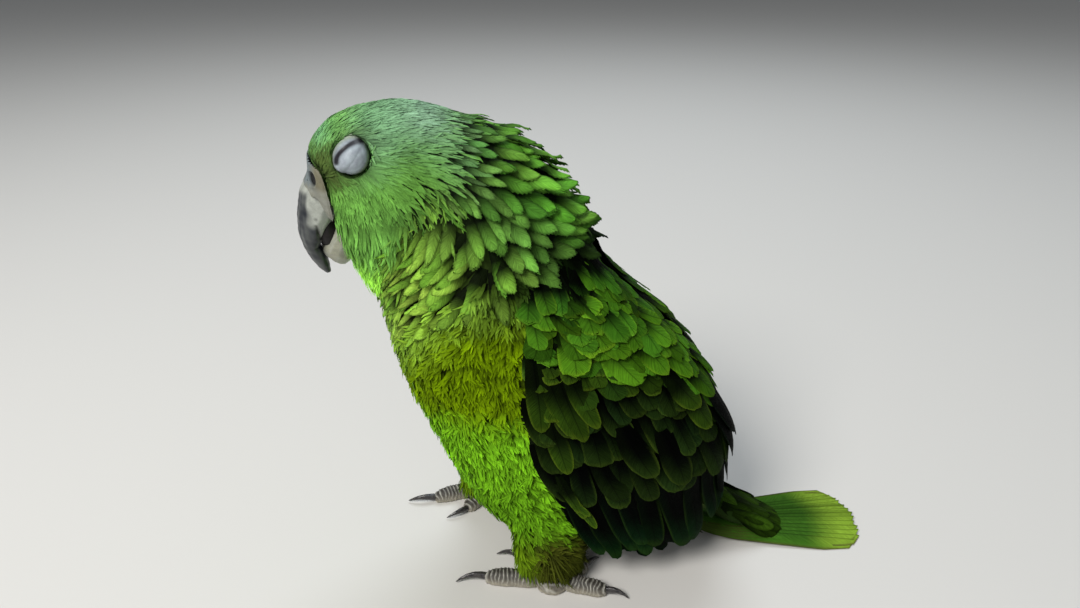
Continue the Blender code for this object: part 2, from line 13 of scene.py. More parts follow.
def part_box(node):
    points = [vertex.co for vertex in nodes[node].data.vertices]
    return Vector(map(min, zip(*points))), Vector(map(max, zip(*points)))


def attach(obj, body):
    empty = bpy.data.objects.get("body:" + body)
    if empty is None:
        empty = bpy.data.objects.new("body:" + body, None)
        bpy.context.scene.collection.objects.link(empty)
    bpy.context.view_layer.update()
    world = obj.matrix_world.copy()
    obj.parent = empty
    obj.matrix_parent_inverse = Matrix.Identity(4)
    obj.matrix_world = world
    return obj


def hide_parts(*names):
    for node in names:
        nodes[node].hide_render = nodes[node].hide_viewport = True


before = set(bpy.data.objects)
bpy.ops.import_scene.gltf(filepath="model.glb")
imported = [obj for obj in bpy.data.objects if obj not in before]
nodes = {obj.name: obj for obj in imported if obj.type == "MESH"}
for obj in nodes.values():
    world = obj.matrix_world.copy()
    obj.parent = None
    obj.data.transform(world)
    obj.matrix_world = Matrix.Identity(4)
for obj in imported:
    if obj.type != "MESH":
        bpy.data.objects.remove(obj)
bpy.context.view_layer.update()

started = time.time()


def report(text):
    print("parrot %5.1f s: %s" % (time.time() - started, text))


def mid(name):
    low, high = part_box(name)
    return (low + high) / 2


for thing in ("Cube", "Light", "Camera"):      # a fresh Blender file holds these three
    if thing in bpy.data.objects:
        bpy.data.objects.remove(bpy.data.objects[thing])

# the bird's own millimetres: x to its left, -y ahead, z up from the floor
origin = np.array([mid("trunk").x, mid("tarsus_left").y - 0.038, 0.0])
eyeLine = mid("eye_left") - mid("eye_right")
headTurn = math.atan2(eyeLine.y, eyeLine.x)
neckPivot = np.array([0, 5.0, 0])


def toMetres(points):
    return np.asarray(points) * 0.001 + origin


def toBird(points):
    return (np.asarray(points, dtype=float) - origin) * 1000.0


def fade(low, high, value):
    f = np.clip((np.asarray(value, dtype=float) - low) / (high - low), 0.0, 1.0)
    return f * f * (3 - 2 * f)


def mix(a, b, share):
    share = np.asarray(share)[..., None]
    return np.asarray(a) * (1 - share) + np.asarray(b) * share


def unit(v):
    return v / np.maximum(np.linalg.norm(v, axis=-1, keepdims=True), 1e-9)


def dot(a, b):
    return (a * b).sum(-1, keepdims=True)


def bell(*offsets):
    # 1 in the middle, falling off smoothly over a distance of 1
    return np.exp(-sum(offset ** 2 for offset in offsets))


def mottle(points, size, seed):
    dice = np.random.default_rng(seed)
    total = np.zeros(points.shape[:-1])
    for _ in range(7):
        way = unit(dice.normal(size=3)) * dice.uniform(0.6, 1.5) * 2 * math.pi / size
        total += np.sin(points @ way + dice.uniform(0, 2 * math.pi))
    return total / 7 ** 0.5


# floor, light and camera
studio = {
    "lens": 26.0,
    "pitch": 26.0,              # degrees below level
    "heading": 86.0,
    "offset": (0.2808, -0.010, 0.256),      # from the point between the feet
    "floor": (0.60, 0.585, 0.56),
    "floorSize": 6.0,
    "sky": (0.90, 0.95, 1.0),
    "skyPower": 0.20,
    "lights": (                 # name, place from the bird's middle, size, watts, colour
        ("key", (0.80, -0.75, 1.10), 0.7, 26.0, (1.0, 0.98, 0.94)),
        ("window", (-0.8, 0.2, 1.3), 0.9, 12.0, (0.86, 0.94, 1.0)),
        ("fill", (1.4, 0.2, 0.6), 1.2, 2.5, (1.0, 1.0, 1.0)),
    ),
}


def makeStudio():
    scene = bpy.context.scene
    between = (mid("tarsus_left") + mid("tarsus_right")) / 2
    eye = Vector((between.x, between.y, 0)) + Vector(studio["offset"])
    lens = bpy.data.cameras.new("camera")
    lens.lens = studio["lens"]
    lens.sensor_width = 36.0
    lens.clip_start = 0.01
    camera = bpy.data.objects.new("camera", lens)
    camera.location = eye
    camera.rotation_euler = (math.radians(90 - studio["pitch"]), 0, math.radians(studio["heading"]))
    scene.collection.objects.link(camera)
    scene.camera = camera

    target = Vector((origin[0], origin[1] + 0.03, 0.10))
    for name, place, size, power, colour in studio["lights"]:
        lamp = bpy.data.lights.new(name, "AREA")
        lamp.shape = "DISK"
        lamp.size = size
        lamp.energy = power
        lamp.color = colour
        made = bpy.data.objects.new(name, lamp)
        made.location = target + Vector(place)
        made.rotation_euler = (target - made.location).to_track_quat("-Z", "Y").to_euler()
        scene.collection.objects.link(made)

    world = bpy.data.worlds.new("studio")
    world.use_nodes = True
    sky = world.node_tree.nodes["Background"].inputs
    sky["Color"].default_value = (*studio["sky"], 1)
    sky["Strength"].default_value = studio["skyPower"]
    scene.world = world
    scene.view_settings.view_transform = "Standard"

    half = studio["floorSize"] / 2
    mesh = bpy.data.meshes.new("floor")
    corners = [(-half, -half, 0), (half, -half, 0), (half, half, 0), (-half, half, 0)]
    mesh.from_pydata(corners, [], [(0, 1, 2, 3)])
    floor = bpy.data.objects.new("floor", mesh)
    scene.collection.objects.link(floor)
    material, make, _, shader = newMaterial("floor_paint")
    make(shader, {"Base Color": (*studio["floor"], 1), "Roughness": 0.8})
    mesh.materials.append(material)


# the eye ovals: where the lids sit, used by the lids and by the feathers round them
lids = {
    "halfLong": 6.7,
    "halfWide": 5.2,
    "shift": (-0.7, 0.5),           # of the oval from the eyeball, (y, z)
    "tilt": (0.68, 0.73),           # long axis, (y, z)
    "crown": 5.9,                   # top of the closed lid over the eyeball's middle
    "cover": 5.75,                  # the lids never come nearer the eyeball's middle than this
    "slitAt": 1.0,
    "slitLong": 6.1,
    "slitWide": 3.7,
    "slitTurn": 0.26,
    "slitDeep": 0.8,
    "slitThick": 0.62,
    "fold": 0.35,
    "wrinkle": 0.05,
    "rimAbove": 0.9,                # of the rim over the skin
    "pale": (0.37, 0.43, 0.47),
    "mauve": (0.26, 0.28, 0.33),
    # near black: painted shade in the slit between the lids
    "slit": (0.008, 0.007, 0.012),
    "rim": (0.25, 0.30, 0.22),
}


def eyeFrames():
    frames = []
    for side, other in (("left", "right"), ("right", "left")):
        centre = np.array(mid("eye_" + side))
        out = np.array((Vector(centre) - mid("eye_" + other)).normalized())
        back = np.array([-math.sin(headTurn), math.cos(headTurn), 0.0])
        long = back * lids["tilt"][0] + np.array([0, 0, lids["tilt"][1]])
        long = unit(long - out * long.dot(out))
        wide = np.cross(out, long) * (1 if side == "left" else -1)
        middle = centre + (back * lids["shift"][0] + np.array([0, 0, lids["shift"][1]])) * 0.001
        frames.append((side, middle, out, long, wide, centre))
    return frames


eyes = eyeFrames()


def aroundEye(birdPoints):
    nearest = np.full(len(birdPoints), 9.0)
    radial = np.zeros((len(birdPoints), 3))
    for _, middle, out, long, wide, _ in eyes:
        offset = birdPoints - toBird(middle)
        a, b, c = offset @ long, offset @ wide, offset @ out
        r = np.hypot(a / lids["halfLong"], b / lids["halfWide"])
        r = np.where(c > -4, r, 9.0)
        closer = r < nearest
        away = unit(np.outer(a / lids["halfLong"] ** 2, long) + np.outer(b / lids["halfWide"] ** 2, wide))
        radial = np.where(closer[:, None], away, radial)
        nearest = np.minimum(nearest, r)
    return nearest, radial


# the lie of the plumage: guide lines along the top and underside, (y, z)
topLine = ((-49.5, 181), (-46, 190), (-36, 198.3), (-17, 202), (8, 198.5), (31, 185.5),
           (48.5, 161.5), (62, 134), (84.5, 103.5), (109, 70), (113, 40))
lowLine = ((-41, 161), (-35.5, 143.5), (-33, 138), (-31.5, 134), (-30, 126), (-26.5, 110),
           (-21, 88), (-7, 57.5), (6.5, 29), (25, 13), (80, 12))
# comb strokes: where (y, z) on the straightened bird and which way (y, z) the feathers point
strokes = (
    (-48, 184, 0.1, 1.0), (-46, 190, 0.3, 1.0), (-38, 197, 1.0, 0.5), (-25, 201, 1.0, 0.1),
    (-8, 202, 1.0, -0.05), (8, 198, 1.0, -0.3), (19, 192, 1.0, -0.45), (-42, 184, 0.6, 0.5),
    (-36, 192, 1.0, 0.35), (-22, 190, 1.0, 0.0), (-10, 190, 1.0, -0.1), (-40, 174, 0.2, -1.0),
    (-36, 163, 0.1, -1.0),
    (-31, 168, 0.25, -1.0), (-24, 172, 0.5, -1.0), (-16, 180, 0.9, -0.5), (-25, 160, 0.05, -1.0),
    (-15, 172, 0.55, -1.0), (-7, 182, 1.0, -0.35), (-3, 176, 0.5, -0.9), (-31, 148, 0.0, -1.0),
    (-22, 153, -0.7, -1.0), (-14, 162, -0.8, -0.9), (-7, 160, -1.0, -0.8), (-2, 168, -0.8, -0.8),
    (5, 157, -1.0, -0.8), (6, 149, -1.0, -0.8), (6, 139, -0.9, -0.8), (-21, 137, -0.8, -1.0),
    (-13, 141, -0.9, -0.9), (-12, 127, -0.7, -1.0), (6, 127, -0.6, -1.0), (-3, 118, -0.5, -1.0),
    (-20, 114, -0.4, -1.0), (6, 172, 0.5, -0.9), (14, 162, 0.5, -0.8), (14, 152, 0.2, -1.0),
    (14, 140, 0.0, -1.0), (22, 152, 0.7, -0.7), (23, 142, 0.6, -0.8), (8, 182, 1.0, -0.5),
    (17, 172, 0.9, -0.5), (19, 182, 1.0, -0.35), (26, 164, 1.0, -0.4), (32, 156, 1.0, -0.4),
    (34, 168, 1.0, -0.3), (38, 148, 0.9, -0.6), (31, 145, 0.8, -0.7),
)
strokeReach = 4.0


def smoothLine(points, count):
    points = np.asarray(points, dtype=float)
    last = len(points) - 1
    t = np.linspace(0, last, count)
    i = np.minimum(t.astype(int), last - 1)
    f = (t - i)[:, None]
    p1, p2 = points[i], points[i + 1]
    p0 = np.where((i > 0)[:, None], points[np.maximum(i - 1, 0)], 2 * p1 - p2)
    p3 = np.where((i + 2 <= last)[:, None], points[np.minimum(i + 2, last)], 2 * p2 - p1)
    return 0.5 * (2 * p1 + (p2 - p0) * f + (2 * p0 - 5 * p1 + 4 * p2 - p3) * f ** 2
                  + (3 * p1 - p0 - 3 * p2 + p3) * f ** 3)


lineSteps = 161
topCurve = smoothLine(topLine, lineSteps)
lowCurve = smoothLine(lowLine, lineSteps)
perStep = (len(topLine) - 1) / (lineSteps - 1)


def turnedWays(ways, z, share=1):
    # turned with the head, more towards the top of the neck
    angle = share * headTurn * fade(112, 160, z)
    c, s = np.cos(angle), np.sin(angle)
    x, y = ways[:, 0], ways[:, 1]
    return np.stack([x * c - y * s, x * s + y * c, ways[:, 2]], 1)


def straightened(p):
    return turnedWays(p - neckPivot, p[:, 2], -1) + neckPivot


def bodyPlace(birdPoints):
    p = straightened(birdPoints)
    span = topCurve - lowCurve
    dy = p[:, 1, None] - lowCurve[None, :, 0]
    dz = p[:, 2, None] - lowCurve[None, :, 1]
    cross = span[None, :, 1] * dy - span[None, :, 0] * dz
    share = (dy * span[:, 0] + dz * span[:, 1]) / (span ** 2).sum(1)
    change = (cross[:, :-1] > 0) & (cross[:, 1:] <= 0)
    flaw = np.where(change, np.abs(share[:, :-1] - 0.5), 9.0)
    k = flaw.argmin(1)
    row = np.arange(len(p))
    none, ahead = ~change.any(1), cross[:, 0] <= 0
    k = np.where(none, np.where(ahead, 0, lineSteps - 2), k)
    a, b = cross[row, k], cross[row, k + 1]
    f = np.where(none, np.where(ahead, 0.0, 1.0), a / np.maximum(a - b, 1e-9))
    t = (k + f) * perStep
    up = share[row, k] * (1 - f) + share[row, k + 1] * f
    size = np.linalg.norm(span, axis=1)[k]
    around = np.arctan2(p[:, 0], (up - 0.5) * size)
    return p, t, up, around


def lieAt(birdPoints, place=None):
    p, t, up, _ = place or bodyPlace(birdPoints)
    k = np.clip((t / perStep).astype(int), 1, lineSteps - 2)
    topWay = unit(topCurve[k + 1] - topCurve[k - 1])
    lowWay = unit(lowCurve[k + 1] - lowCurve[k - 1])
    share = np.clip(up, 0, 1)[:, None]
    along = unit(lowWay * (1 - share) + topWay * share)
    table = np.array(strokes)
    far = ((p[:, None, 1:] - table[None, :, :2]) ** 2).sum(-1)
    weight = np.exp(-(far - far.min(1, keepdims=True)) / (2 * strokeReach ** 2))
    combed = unit(weight @ unit(table[:, 2:]))
    ways = mix(combed, along, fade(5.5, 6.7, t))
    ways = unit(mix(ways, np.array([0.85, -0.5]), fade(92, 104, p[:, 1])))
    flat = turnedWays(np.column_stack([np.zeros(len(p)), ways]), birdPoints[:, 2])
    near, radial = aroundEye(birdPoints)
    inward = np.minimum(dot(flat, radial), 0)
    return unit(flat - radial * inward * fade(2.0, 1.2, near)[:, None])


# plumage colours, one formula for skin and coat
palette = {
    "forehead": (0.155, 0.36, 0.17),
    "crown": (0.165, 0.345, 0.165),
    # pale of the crown and nape: the feathers' own frosting and a painted sheen of the light from above
    "frostAndSheen": (0.24, 0.39, 0.28),
    "ear": (0.125, 0.32, 0.04),
    "lore": (0.06, 0.09, 0.022),
    "cheek": (0.155, 0.39, 0.066),
    "throat": (0.30, 0.72, 0.065),
    "neck": (0.27, 0.51, 0.055),
    "hindneck": (0.12, 0.335, 0.032),
    "breast": (0.125, 0.215, 0.0004),
    "belly": (0.175, 0.46, 0.012),
    "thigh": (0.18, 0.33, 0.008),
    "shank": (0.07, 0.085, 0.008),
    "vent": (0.05, 0.07, 0.006),
    "mantle": (0.036, 0.11, 0.005),
    "covertDark": (0.010, 0.022, 0.003),
    "covert": (0.021, 0.047, 0.003),
    "covertEdge": (0.09, 0.14, 0.008),
    "lowCovertDark": (0.0006, 0.0014, 0.0005),
    "lowCovert": (0.011, 0.024, 0.003),
    "lowCovertEdge": (0.038, 0.062, 0.006),
    "scapularDark": (0.010, 0.026, 0.003),
    "scapular": (0.055, 0.155, 0.006),
    "scapularEdge": (0.17, 0.31, 0.012),
    "flight": (0.0004, 0.0009, 0.0005),
    "flightGreen": (0.003, 0.017, 0.0035),
    "flightEdge": (0.030, 0.066, 0.008),
    "tail": (0.03, 0.08, 0.006),
    "shadow": (0, 0, 0),            # under the cheek
    "gapShade": (0, 0, 0),           # painted shade in the gaps behind the cheek
}
# where each colour lies, in the order it is laid on: colour, strength, what it fades in along (from,
# to) and spots (y, z, their reach both ways, weight); y and z in mm, "along" from 0 at the face to
# 10 at the tail, "up" from 0 underneath to 1 on top
zones = (
    ("throat", 1, {"z": (160, 146), "along": (4.5, 3.5)}, ()),
    ("forehead", 1, {"z": (180, 190), "along": (2.0, 1.0)}, ()),
    ("crown", 1, {"up": (0.62, 0.8), "along": (1.4, 2.6)}, ()),
    ("ear", 0.8, {}, ((-17, 183, 8, 7, 1),)),
    ("neck", 1, {"along": (3.3, 4.1), "up": (0.85, 0.55)}, ()),
    ("hindneck", 1, {"along": (2.7, 4.0), "up": (0.5, 0.85)}, ()),
    # frost on crown and nape, partly a painted sheen of the light from above
    ("frostAndSheen", 0.8, {"along": (4.4, 3.3)}, ((-10, 199, 11, 9, 1), (2, 185, 8, 9, 0.95))),
    ("shadow", 0.55, {}, ((-17, 168, 9, 6, 1),)),
    ("breast", 1, {"z": (146, 122), "along": (4.6, 6.0)}, ()),
    ("belly", 1, {"z": (98, 78), "along": (5.2, 6.2)}, ()),
    ("mantle", 1, {"along": (6.0, 6.6), "up": (0.62, 0.85)}, ()),
    ("thigh", 1, {"z": (34, 18), "along": (6.8, 7.5)}, ()),
    ("shank", 1, {"z": (36, 22), "y": (24, 32)}, ()),
    ("vent", 1, {"y": (45, 60), "z": (60, 45)}, ()),
    ("tail", 1, {"y": (90, 104), "up": (0.5, 0.75)}, ()),
    ("lore", 0.95, {}, ((-41.5, 181.5, 5, 4.5, 1.2 / 0.95),)),
    ("lore", 0.35, {"eye": (1.5, 1.1)}, ()),
    # painted shade in the gaps between the feathers behind the cheek
    ("gapShade", 0.9, {}, ((-8, 176, 2.6, 2.6, 1), (-1.5, 172.5, 2.4, 2.4, 1), (-7.5, 161.5, 2.6, 2.6, 1),
                          (-15, 157, 1.8, 1.8, 1), (4, 166, 1.8, 1.8, 1))),
)
shades = {
    "crease": 0.95,             # painted shade in the fold under the raised neck feathers
    "creaseAt": (8, 10),        # its middle above their ends and its half width, mm
    "lower": 0.35,              # the legs and lower belly stand in their own shade
    "blotch": (17.0, 0.10),     # size in mm and strength
    "fleck": (6.0, 0.10, 0.08),     # the last is added on the head
}


def bodyColours(birdPoints, place=None, shadeGaps=True):
    p, t, up, _ = place or bodyPlace(birdPoints)
    y, z = p[:, 1], p[:, 2]
    measures = {"y": y, "z": z, "along": t, "up": up, "eye": aroundEye(birdPoints)[0]}
    c = np.tile(np.array(palette["cheek"]), (len(p), 1))
    for name, strength, fades, spots in zones:
        share = np.full(len(p), float(strength))
        for measure, (start, full) in fades.items():
            share = share * fade(start, full, measures[measure])
        if spots:
            share = share * np.clip(sum(weight * bell((y - atY) / wide, (z - atZ) / tall)
                                        for atY, atZ, wide, tall, weight in spots), 0, 1)
        if shadeGaps or name != "gapShade":
            c = mix(c, palette[name], share)
    # painted shade: the crease under the raised neck feathers, and the legs and lower belly
    above, half = shades["creaseAt"]
    crease = bell((aboveEnds(p) - above) / half) * fade(6, 16, y) * (t > 4)
    lower = fade(66, 40, z) * (t > 4)
    c = c * ((1 - shades["crease"] * crease) * (1 - shades["lower"] * lower))[:, None]
    (blotchSize, blotch), (fleckSize, fleck, headFleck) = shades["blotch"], shades["fleck"]
    patch = mottle(p, blotchSize, 5) * blotch
    patch = patch + mottle(p, fleckSize, 6) * (fleck + headFleck * fade(4.2, 3.4, t))
    return c * (1 + patch)[:, None]


# reading and making meshes
def pulled(items, key, width, kind=float):
    values = np.empty(len(items) * width, dtype=kind)
    items.foreach_get(key, values)
    return values.reshape(-1, width)


def treeOf(*names):
    points, faces = [], []
    for mesh in (nodes[name].data for name in names):
        faces += [tuple(i + len(points) for i in p.vertices) for p in mesh.polygons]
        points += [tuple(v.co) for v in mesh.vertices]
    return BVHTree.FromPolygons(points, faces)


def fillMesh(name, points, quads, triangles=None):
    mesh = bpy.data.meshes.new(name)
    mesh.vertices.add(len(points))
    mesh.vertices.foreach_set("co", np.asarray(points, dtype=np.float32).ravel())
    corners = quads.ravel()
    starts = np.arange(0, quads.size, 4)
    if triangles is not None:
        starts = np.concatenate([starts, quads.size + np.arange(0, triangles.size, 3)])
        corners = np.concatenate([corners, triangles.ravel()])
    mesh.loops.add(len(corners))
    mesh.loops.foreach_set("vertex_index", corners.astype(np.int32))
    mesh.polygons.add(len(starts))
    mesh.polygons.foreach_set("loop_start", starts.astype(np.int32))
    mesh.update(calc_edges=True)
    mesh.shade_smooth()
    return mesh


def addPiece(name, mesh, material, slot, replaced=()):
    made = bpy.data.objects.new(name, mesh)
    bpy.context.scene.collection.objects.link(made)
    mesh.materials.append(material)
    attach(made, "root")
    if replaced:
        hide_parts(*replaced)


def storeColours(mesh, colours):
    values = np.ones((len(mesh.vertices), 4), dtype=np.float32)
    values[:, :3] = np.clip(colours, 0, 1).reshape(-1, 3)
    mesh.attributes.new("plume", "FLOAT_COLOR", "POINT").data.foreach_set("color", values.ravel())


bakePatch = 0.003       # how wide one feather's patch is on the bake map


def featherMesh(name, points, quads, colours, barb, spots, triangles=None):
    mesh = fillMesh(name, points.reshape(-1, 3), quads, triangles)
    storeColours(mesh, colours)
    layer = mesh.attributes.new("barb", "FLOAT_VECTOR", "POINT")
    layer.data.foreach_set("vector", barb.astype(np.float32).ravel())
    corners = pulled(mesh.loops, "vertex_index", 1, int)[:, 0]
    layer = mesh.uv_layers.new(name="OFBake")
    layer.data.foreach_set("uv", spots.reshape(-1, 2)[corners].astype(np.float32).ravel())
    return mesh


def unwrapSpot(place):
    _, t, _, around = place
    return np.stack([0.02 + 0.96 * (around / (2 * math.pi) + 0.5), 0.02 + 0.96 * t / 10.0], 1)


def cellsOf(grid):
    return np.stack([grid[:-1, :-1], grid[:-1, 1:], grid[1:, 1:], grid[1:, :-1]], -1).reshape(-1, 4)


def vaneGrid(count, steps, across):
    # the corners of one vane, and the quads of many
    grid = np.arange((steps + 1) * (across + 1)).reshape(steps + 1, across + 1)
    return grid, (cellsOf(grid)[None] + (np.arange(count) * grid.size)[:, None, None]).reshape(-1, 4)


def remeshed(names, voxel, swell):
    bm = bmesh.new()
    for name in names:
        bm.from_mesh(nodes[name].data)
    bmesh.ops.remove_doubles(bm, verts=bm.verts, dist=1e-6)
    bm.normal_update()
    for v in bm.verts:
        v.co += v.normal * swell
    mesh = bpy.data.meshes.new("work")
    bm.to_mesh(mesh)
    bm.free()
    work = bpy.data.objects.new("work", mesh)
    bpy.context.scene.collection.objects.link(work)
    modifier = work.modifiers.new("remesh", "REMESH")
    modifier.mode = "VOXEL"
    modifier.voxel_size = voxel
    graph = bpy.context.evaluated_depsgraph_get()
    done = work.evaluated_get(graph).to_mesh()
    points = pulled(done.vertices, "co", 3)
    quads = pulled(done.loops, "vertex_index", 1, int).reshape(-1, 4)
    edges = pulled(done.edges, "vertices", 2, int)
    work.evaluated_get(graph).to_mesh_clear()
    bpy.data.objects.remove(work)
    bpy.data.meshes.remove(mesh)
    return points, quads, edges


def relaxed(points, edges, rounds, share=0.5):
    count = np.bincount(edges.ravel(), minlength=len(points))[:, None]
    for _ in range(rounds):
        total = np.stack([np.bincount(edges[:, 0], points[edges[:, 1], i], len(points))
                          + np.bincount(edges[:, 1], points[edges[:, 0], i], len(points))
                          for i in range(3)], 1)
        points = points * (1 - share) + share * total / np.maximum(count, 1)
    return points


def quadNormals(points, quads):
    a, b, c, d = (points[quads[:, i]] for i in range(4))
    face = np.cross(c - a, d - b)
    normals = np.zeros_like(points)
    for corner in quads.T:
        for axis in range(3):
            normals[:, axis] += np.bincount(corner, face[:, axis], len(points))
    return unit(normals)


def newMaterial(name):
    material = bpy.data.materials.new(name)
    material.use_nodes = True
    tree = material.node_tree

    # a node's inputs are plain values, sockets, or nodes that give their first output
    def make(kind, inputs, **settings):
        node = kind if hasattr(kind, "inputs") else tree.nodes.new("ShaderNode" + kind)
        for key, value in settings.items():
            setattr(node, key, value)
        for key, value in inputs.items():
            value = value.outputs[0] if hasattr(value, "outputs") else value
            if hasattr(value, "is_linked"):
                tree.links.new(value, node.inputs[key])
            else:
                node.inputs[key].default_value = value
        return node

    def ranged(value, low, high, toLow, toHigh):
        return make("MapRange", {"Value": value, "From Min": low, "From Max": high,
                                 "To Min": toLow, "To Max": toHigh})
    return material, make, ranged, tree.nodes["Principled BSDF"]


def featherMaterial(name, kind):
    look = plumeLooks[kind]
    material, make, ranged, shader = newMaterial(name)
    plume = make("Attribute", {}, attribute_name="plume")
    barb = make("Attribute", {}, attribute_name="barb")
    along, aside, tone = make("SeparateXYZ", {"Vector": barb.outputs["Vector"]}).outputs
    across = make("Math", {0: aside}, operation="ABSOLUTE")
    line = make("Math", {0: across, 1: -look["lean"], 2: along}, operation="MULTIPLY_ADD")
    tight = make("Math", {0: line, 1: 1 / look["barbGap"]}, operation="MULTIPLY")
    loose = make("Math", {0: aside, 1: look["barbRun"]}, operation="MULTIPLY")
    strand = make("CombineXYZ", {0: tight, 1: loose, 2: tone})
    barbs = make("TexNoise", {"Vector": strand, "Scale": 1.0, "Detail": 3.0, "Roughness": 0.65})
    shade = ranged(barbs, 0.3, 0.7, 1 - look["barbDark"], 1 + look["barbDark"] * 0.5)
    shaft = ranged(across, 0.08, 0.3, 1 - look["shaft"], 1.0)
    both = make("Math", {0: shade, 1: shaft}, operation="MULTIPLY")
    colour = make("VectorMath", {0: plume, "Scale": both}, operation="SCALE")
    bump = make("Bump", {"Height": both, "Strength": look["bump"], "Distance": 0.0003})
    rough = ranged(barbs, 0.3, 0.7, look["roughness"] + 0.08, look["roughness"] - 0.08)
    make(shader, {"Base Color": colour, "Roughness": rough, "Normal": bump,
                  "Specular IOR Level": look["specular"], "Sheen Weight": look["sheen"],
                  "Sheen Roughness": 0.45, "Sheen Tint": (*look["sheenTint"], 1)})
    return material


# barb lean, spacing (mm), how fast the barbs change along themselves, darkness between, shaft darkness
fineBarbs = {"lean": 0.6, "barbGap": 0.8, "barbRun": 0.8, "barbDark": 0.25, "shaft": 0.0, "bump": 0.3,
             "roughness": 0.70, "specular": 0.05, "sheen": 0.02, "sheenTint": (0.75, 0.95, 0.75)}
plumeLooks = {
    "face": fineBarbs,
    "soft": dict(fineBarbs, barbGap=1.0, roughness=0.74, specular=0.03, sheen=0.0),
    "neck": dict(fineBarbs, lean=1.3, barbGap=0.45, barbRun=0.25, barbDark=0.48, shaft=0.12, bump=0.8,
                 roughness=0.66, sheen=0.0),
    "wing": dict(fineBarbs, lean=1.1, barbGap=0.45, barbRun=0.2, barbDark=0.45, shaft=0.45, bump=0.7,
                 roughness=0.60, specular=0.015, sheen=0.0),
}
skinLook = {
    "voxel": 0.0013,
    "swell": 0.0006,
    "relax": (14, 3),                # before and after it sinks under the coat
    "coatDepth": (1.3, 4.4, 2.4),    # head, neck and body, mm
    "bareDepth": 2.2,                # more under the bare skin round the bill
    "lowest": 0.0012,
    "shade": 0.55,                   # the skin is darker than the feather tips
    "deepShade": 0.10,               # and darkest between the raised neck feathers
    "down": 900.0,
}


def skinMaterial():
    material, make, ranged, shader = newMaterial("skin_down")
    plume = make("Attribute", {}, attribute_name="plume")
    place = make("TexCoord", {}).outputs["Object"]
    down = make("TexNoise", {"Vector": place, "Scale": skinLook["down"], "Detail": 3.0})
    colour = make("VectorMath", {0: plume, "Scale": ranged(down, 0.0, 1.0, 0.55, 1.15)}, operation="SCALE")
    bump = make("Bump", {"Height": down, "Strength": 0.5, "Distance": 0.0004})
    make(shader, {"Base Color": colour, "Normal": bump, "Roughness": 0.9, "Specular IOR Level": 0.1})
    return material


def skinDepth(place):
    p, t, _, _ = place
    head, neck, body = skinLook["coatDepth"]
    depth = head + (neck - head) * fade(3.0, 4.4, t)
    depth = depth + (body - neck) * fade(6.0, 7.0, t)
    depth = depth * (1 - 0.6 * fade(26, 12, p[:, 2]) * (t > 5))
    return depth + skinLook["bareDepth"] * bareShare(p) * (t < 2.5)


def makeSkin():
    flesh = ["head", "neck", "trunk", "thigh_left", "thigh_right", "tail_coverts", "vent_coverts"]
    points, quads, edges = remeshed(flesh, skinLook["voxel"], skinLook["swell"])
    points = relaxed(points, edges, skinLook["relax"][0])
    depth = skinDepth(bodyPlace(toBird(points)))[:, None] * 0.001 + skinLook["swell"]
    points = relaxed(points - quadNormals(points, quads) * depth, edges, skinLook["relax"][1])
    points[:, 2] = np.maximum(points[:, 2], skinLook["lowest"])
    mesh = fillMesh("body_skin", points, quads)
    bird = toBird(points)
    place = bodyPlace(bird)
    raised = fade(3.8, 4.6, place[1]) * fade(7.5, 6.2, place[1])
    shade = skinLook["shade"] + (skinLook["deepShade"] - skinLook["shade"]) * raised
    storeColours(mesh, bodyColours(bird, place) * shade[:, None])
    addPiece("body_skin", mesh, skinMaterial(), "belly_plumage", flesh)
    faceNormals = unit(quadNormals(points, quads)[quads].mean(1))
    tree = BVHTree.FromPolygons(points.tolist(), quads.tolist())
    return {"points": points, "quads": quads, "faceNormals": faceNormals, "tree": tree}


def nearestOn(surface, points):
    found = [surface["tree"].find_nearest(p) for p in points.tolist()]
    return np.array([tuple(f[0]) for f in found]), surface["faceNormals"][[f[2] for f in found]]


def stations(steps):
    # places along a feather from root to tip, closer together where the tip rounds off
    return 1 - (1 - np.linspace(0, 1, steps + 1)) ** 1.7


def outline(s, shape, full=None, tip=None):
    full = shape["full"] if full is None else full
    tip = shape["tip"] if tip is None else tip
    rise = np.clip(s / full, 0, 1) ** 0.6
    rest = np.clip((1 - s) / (1 - full), 0, 1)
    return np.minimum(shape["root"] + (1 - shape["root"]) * rise, 1) * (1 - (1 - rest) ** tip) ** (1 / tip)


def walk(surface, spots, ways, lengths, steps, cling):
    # lines laid from the roots along the lie, over the surface or straight on
    gaps = np.diff(stations(steps))
    spots, up = nearestOn(surface, spots)
    ways = unit(ways - up * dot(ways, up))
    rows = [(spots, up, ways)]
    for gap in gaps:
        spots = spots + ways * (lengths * gap)[:, None]
        if cling:
            spots, up = nearestOn(surface, spots)
            ways = unit(ways - up * dot(ways, up))
        rows.append((spots, up, ways))
    return [np.stack(part, 1) for part in zip(*rows)]


# roots: many random spots on the skin, then only those far enough from the ones already taken;
# each set of roots holds the spots in metres, in bird millimetres, their body places and normals
def darts(surface, coat):
    dice = np.random.default_rng(coat["seed"] + 10)
    points, quads = surface["points"], surface["quads"]
    a, b, c, d = (points[quads[:, i]] for i in range(4))
    area = np.linalg.norm(np.cross(c - a, d - b), axis=1) / 2
    count = int(area.sum() * 1e6 * coat["perMm"])
    pick = dice.choice(len(quads), count, p=area / area.sum())
    u, v = dice.random((2, count, 1))
    spots = (a[pick] * (1 - u) + b[pick] * u) * (1 - v) + (d[pick] * (1 - u) + c[pick] * u) * v
    bird = toBird(spots)
    found = spots, bird, bodyPlace(bird), surface["faceNormals"][pick]
    return np.random.default_rng(coat["seed"]), found


def only(found, wanted):
    spots, bird, place, normals = found
    return spots[wanted], bird[wanted], tuple(part[wanted] for part in place), normals[wanted]


